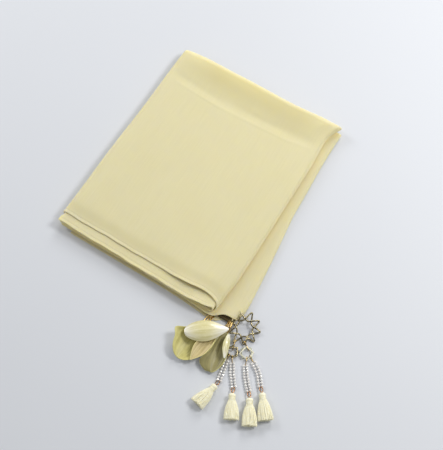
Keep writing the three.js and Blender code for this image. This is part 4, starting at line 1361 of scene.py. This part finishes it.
def wire(name, paths, diameter, bend, material, closed=True, sides=10):
    """Round wire or thread along one or more runs of points, with corners bent to a radius."""
    values = {"Radius": diameter / 2 * MM, "Bend": bend * MM, "Sides": sides, "Material": material}
    return grow(path_object(name, paths, closed), WIRE_TREE, values)


def make_stem(node_name, run):
    """Three wires, soldered side by side at one end, that fan out under the petals."""
    strands = [
        [
            Vector((x + side * apart, y, z + 0.1 * math.sin(y / 3 + side)))
            for x, y, z, apart in smooth_run(run, 14)
        ]
        for side in (-1, 0, 1)
    ]
    obj = wire("flower_" + node_name, strands, STEM_WIRE, 0.2, STEM_GOLD, closed=False)
    settle(obj, "gold_wire", node_name)


for node_name, run in STEMS.items():
    make_stem(node_name, run)

# Dark brown thread wound over the stems' roots, which stands in for the deep shade in the under fold's
# mouth: each row's place along and up, its ends across, the turns in it, the radius of a turn and the
# thread's diameter.
PAINTED_SHADE_BINDING = {"rows": [(-114.9, 2.2), (-117.0, 1.7)], "ends": (90.5, 106.5), "turns": 17,
           "radius": 1.05, "thread": 0.84}


def painted_shade_binding():
    """Brown thread wound along the mouth of the under fold, over the roots of both stems, put there as
    painted shade for the deep shadow in that mouth.
    """
    steps, radius = 12, PAINTED_SHADE_BINDING["radius"]
    count = PAINTED_SHADE_BINDING["turns"] * steps
    rows = [
        [
            Vector((
                mix(*PAINTED_SHADE_BINDING["ends"], k / count),
                y + radius * math.cos(math.tau * k / steps),
                z + radius * math.sin(math.tau * k / steps),
            ))
            for k in range(count + 1)
        ]
        for y, z in PAINTED_SHADE_BINDING["rows"]
    ]
    obj = wire("painted_shade_binding", rows, PAINTED_SHADE_BINDING["thread"], 0.02, PAINTED_SHADE_THREAD, closed=False, sides=6)
    settle(obj, "sewing_thread")


painted_shade_binding()


# ------------------------------------------------------------------ the stars and links

RING = dict(x=118.8, y=-115.9, z=4.05, inner_radius=6.8, high_side=152, tilt=10.9, weave=0.74,
            crossing=0.42, corner_cut=0.12)
# The corners that its tips are bent about: angle and reach from the ring's centre, clockwise.
RING_TIPS = [
    (134.5, 14.6), (95.5, 17.6), (59, 16.6), (20, 16), (-21.5, 16), (-60, 16.1), (-96, 18),
    (-130, 15.8), (-183, 15),
]


def unit(degrees):
    angle = math.radians(degrees)
    return Vector((math.cos(angle), math.sin(angle), 0))


def ring_point(flat, weave=0.0):
    """The middle of the ring's wire at a place given flat, from the ring's centre."""
    slope = math.tan(math.radians(RING["tilt"]))
    rise = flat.dot(unit(RING["high_side"])) * slope + weave
    return Vector((RING["x"] + flat.x, RING["y"] + flat.y, RING["z"] + rise))


def ring_path():
    stops = 2 * len(RING_TIPS)
    cut = RING["corner_cut"]

    def corner(count):
        angle, reach = RING_TIPS[count % len(RING_TIPS)]
        return unit(angle) * (reach if count % 2 == 0 else RING["inner_radius"])

    path = []
    for count in range(stops):
        before, here = corner((count - 1) % stops), corner(count)
        after = corner((count + 1) % stops)
        turn = -1 if count % 2 == 0 else 1
        path.append(ring_point(here.lerp(before, RING["crossing"]), -turn * RING["weave"]))
        path.append(ring_point(here.lerp(before, cut)))
        path.append(ring_point(here.lerp(after, cut)))
    return path


SMALL_STARS = {
    "small_star_1": dict(x=120.8, y=-140.5, z=1.85, corner=6.1, turn=163),
    "small_star_2": dict(x=132.7, y=-134.9, z=1.85, corner=6.5, turn=127),
}


def star_corner(star, eighth, share=1.0):
    centre = Vector((star["x"], star["y"], star["z"]))
    return centre + unit(star["turn"] + eighth * 45) * star["corner"] * share


def oval_path(start, end, stand, half_height):
    """An oval whose long way runs between two points and whose short way is along `stand`."""
    centre, long_way = (start + end) / 2, (end - start) / 2
    steps = 22
    return [
        centre + long_way * math.cos(math.tau * k / steps)
        + stand * half_height * math.sin(math.tau * k / steps)
        for k in range(steps)
    ]


def at_height(point, z):
    return Vector((point[0], point[1], z))


def ring_tip(degrees, reach):
    return ring_point(unit(degrees) * reach)


STAR_1, STAR_2 = SMALL_STARS.values()
RING_BEND, STAR_BEND, LINK_BEND = 1.6, 0.15, 0.1

settle(wire("star_ring_wire", [ring_path()], RING_WIRE, RING_BEND, BRONZE), "gold_wire", "star_ring")

# The two square frames of each small star: corner that it starts at, lift, wire and finish.
STAR_SQUARES = {
    "small_star_1": [(0, 0.12, STAR_WIRE, BRONZE), (1, -0.12, STAR_WIRE, BRONZE)],
    "small_star_2": [(0, 0.12, STAR_WIRE, CREAM_ENAMEL), (1, -0.12, THIN_STAR_WIRE, GREY_WIRE)],
}


def make_star(node_name, squares):
    """A small star: two squares of wire, an eighth of a turn apart."""
    parts = []
    for first, lift, diameter, material in squares:
        corners = [
            star_corner(SMALL_STARS[node_name], first + 2 * side) + UP * lift for side in range(4)
        ]
        parts.append(wire(f"square_{first}", [corners], diameter, STAR_BEND, material))
    settle(join_objects(node_name + "_wire", parts), "gold_wire", node_name)


def make_link(name, node_name, path, material, diameter=LINK_WIRE, slot_name="gold_wire"):
    settle(wire(name, [path], diameter, LINK_BEND, material), slot_name, node_name)


for node_name, squares in STAR_SQUARES.items():
    make_star(node_name, squares)

# The two ends of each link and half its height.
LINKS = {
    "sewn_loop": (at_height(ring_tip(134.5, 17.2), 6.75), at_height(ring_tip(134.5, 10.8), 6.75), 1.5),
    "link_ring_1": (ring_tip(-96, 13.6), star_corner(STAR_1, -1, 0.2), 1.95),
    "link_ring_2": (at_height(ring_tip(-60, 11.8), 2.1), star_corner(STAR_2, -1, 0.5), 1.6),
}
for node_name, (start, end, half) in LINKS.items():
    path = oval_path(start, end, UP, half)
    if node_name == "sewn_loop":
        make_link("sewing_loop", node_name, path, THREAD, slot_name="sewing_thread")
    else:
        make_link(node_name + "_wire", node_name, path, STEM_GOLD)


# ------------------------------------------------------------------ strands of beads and tassels

STRANDS = [
    dict(star=STAR_1, eighth=2, run=[(120.6, -151), (122.6, -160), (124.6, -170)],
         head=(124.8, -175.8), end=(119.4, -200.2)),
    dict(star=STAR_1, eighth=3, run=[(126.6, -150.4), (131.8, -158.6), (139.1, -168.2)],
         head=(141.4, -174.4), end=(153.4, -196)),
    dict(star=STAR_2, eighth=4, run=[(138, -145.8), (144.4, -155), (152.8, -164.2)],
         head=(157, -169.8), end=(170.3, -192.4)),
    dict(star=STAR_2, eighth=5, run=[(143.2, -139.2), (151.8, -145.4), (159.6, -154.8)],
         head=(164.2, -159.8), end=(180.2, -180.2)),
]
# A tassel's knob, and its skirt at the foot. Its yarns start inside the knob, it lies a little
# above the ground, and its neck is a share of the knob's radius.
TASSEL = {"head_radius": 3.2, "head_lift": 0.35, "foot_lift": 1.0, "half_width": 6.9,
          "half_height": 3.1, "yarns": 230, "start": 6.2, "neck_share": 0.86}
# Radius of a tassel's head at each distance along it, and the flutes round it.
HEAD_PROFILE = [
    (0, 0.6), (0.25, 1.5), (0.8, 2.55), (1.4, 3.0), (2.0, 3.2), (2.9, 3.25), (3.7, 3.1),
    (4.2, 2.75), (5.8, 2.75), (6.4, 2.95), (7.0, 3.1), (7.3, 2.2),
]
HEAD_FLUTES, FLUTE_DEPTH = 14, 0.05
THREAD_LIFT, THREAD_WANDER = 0.1, 0.12
LINK_CLEAR = GAP + LINK_WIRE / 2


def strand_link(strand):
    start = star_corner(strand["star"], strand["eighth"], 0.5)
    end = at_height(strand["run"][0], strand["star"]["z"])
    along = (end - start).normalized()
    return oval_path(start, end - along * LINK_CLEAR, UP, LINK_HALF)


def tassel_link(strand):
    start = at_height(strand["run"][2], BEAD / 2)
    end = at_height(strand["head"], TASSEL["head_radius"])
    along = (end - start).normalized()
    across = along.cross(UP).normalized()
    return oval_path(start + along * LINK_CLEAR, end - along * LINK_CLEAR, across, LINK_HALF)


def bead_rows(strand):
    """Two threads side by side through the strand's beads."""
    middle = smooth_run([at_height(p, BEAD / 2 + THREAD_LIFT) for p in strand["run"]], 16)
    rows = [[], []]
    for k, point in enumerate(middle):
        ahead = middle[min(k + 1, len(middle) - 1)] - middle[max(k - 1, 0)]
        across = ahead.cross(UP).normalized()
        wander = THREAD_WANDER * math.sin(k * 1.1)
        for row, sign in zip(rows, (-1, 1)):
            row.append(point + across * sign * (ROW_APART / 2 + wander * sign))
    return rows


def tassel_head(name):
    """The folded yarns over a tassel's head: a knob with soft flutes, along +Z."""
    sides = 48
    points, faces = [], []
    for at, radius in HEAD_PROFILE:
        for side in range(sides):
            angle = math.tau * side / sides
            fluted = radius * (1 + FLUTE_DEPTH * math.cos(HEAD_FLUTES * angle))
            points.append((fluted * math.cos(angle), fluted * math.sin(angle), at))
    for i in range(len(HEAD_PROFILE) - 1):
        for side in range(sides):
            after = (side + 1) % sides
            a, b = i * sides, (i + 1) * sides
            faces.append((a + side, a + after, b + after, b + side))
    last = (len(HEAD_PROFILE) - 1) * sides
    faces += [tuple(reversed(range(sides))), tuple(range(last, last + sides))]
    return mesh_object(name, points, faces, [YARN])


def make_tassel(number, strand):
    """A head with its yarns, turned from +Z to lie from the strand's end to its own foot."""
    top = at_height(strand["head"], TASSEL["head_radius"] + TASSEL["head_lift"])
    foot = at_height(strand["end"], TASSEL["half_height"] + TASSEL["foot_lift"])
    along = (foot - top).normalized()
    across = along.cross(UP).normalized()
    up = across.cross(along)
    place = Matrix.Translation(top * MM) @ Matrix((across, up, along)).transposed().to_4x4()
    values = {
        "Yarns": TASSEL["yarns"],
        "Start": TASSEL["start"] * MM,
        "Length": (foot - top).length * MM,
        "Neck": TASSEL["head_radius"] * TASSEL["neck_share"] * MM,
        "Half width": TASSEL["half_width"] * MM,
        "Half height": TASSEL["half_height"] * MM,
        "Seed": number,
        "Material": YARN,
    }
    obj = grow(tassel_head(f"tassel_of_yarn_{number}"), TASSEL_TREE, values, place)
    settle(obj, "tassel_yarn", f"tassel_{number}")


def make_beads(number, strand):
    values = {"Bead size": BEAD * MM, "Seed": number, "Material": CRYSTAL}
    obj = grow(path_object(f"beads_{number}", bead_rows(strand)), BEAD_TREE, values)
    settle(obj, "clear_bead", f"bead_strand_{number}")


for number, strand in enumerate(STRANDS, 1):
    make_link(f"strand_link_wire_{number}", f"link_strand_{number}", strand_link(strand), GOLD)
    make_beads(number, strand)
    make_link(
        f"tassel_link_wire_{number}", f"link_tassel_{number}", tassel_link(strand), COPPER,
        TASSEL_LINK_WIRE,
    )
    make_tassel(number, strand)

# ------------------------------------------------------------------ size of the part and of the scene

boxes = {
    name: [list(corner) for corner in box]
    for name, box in (("cad", CAD_BOX), ("visual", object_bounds()))
}
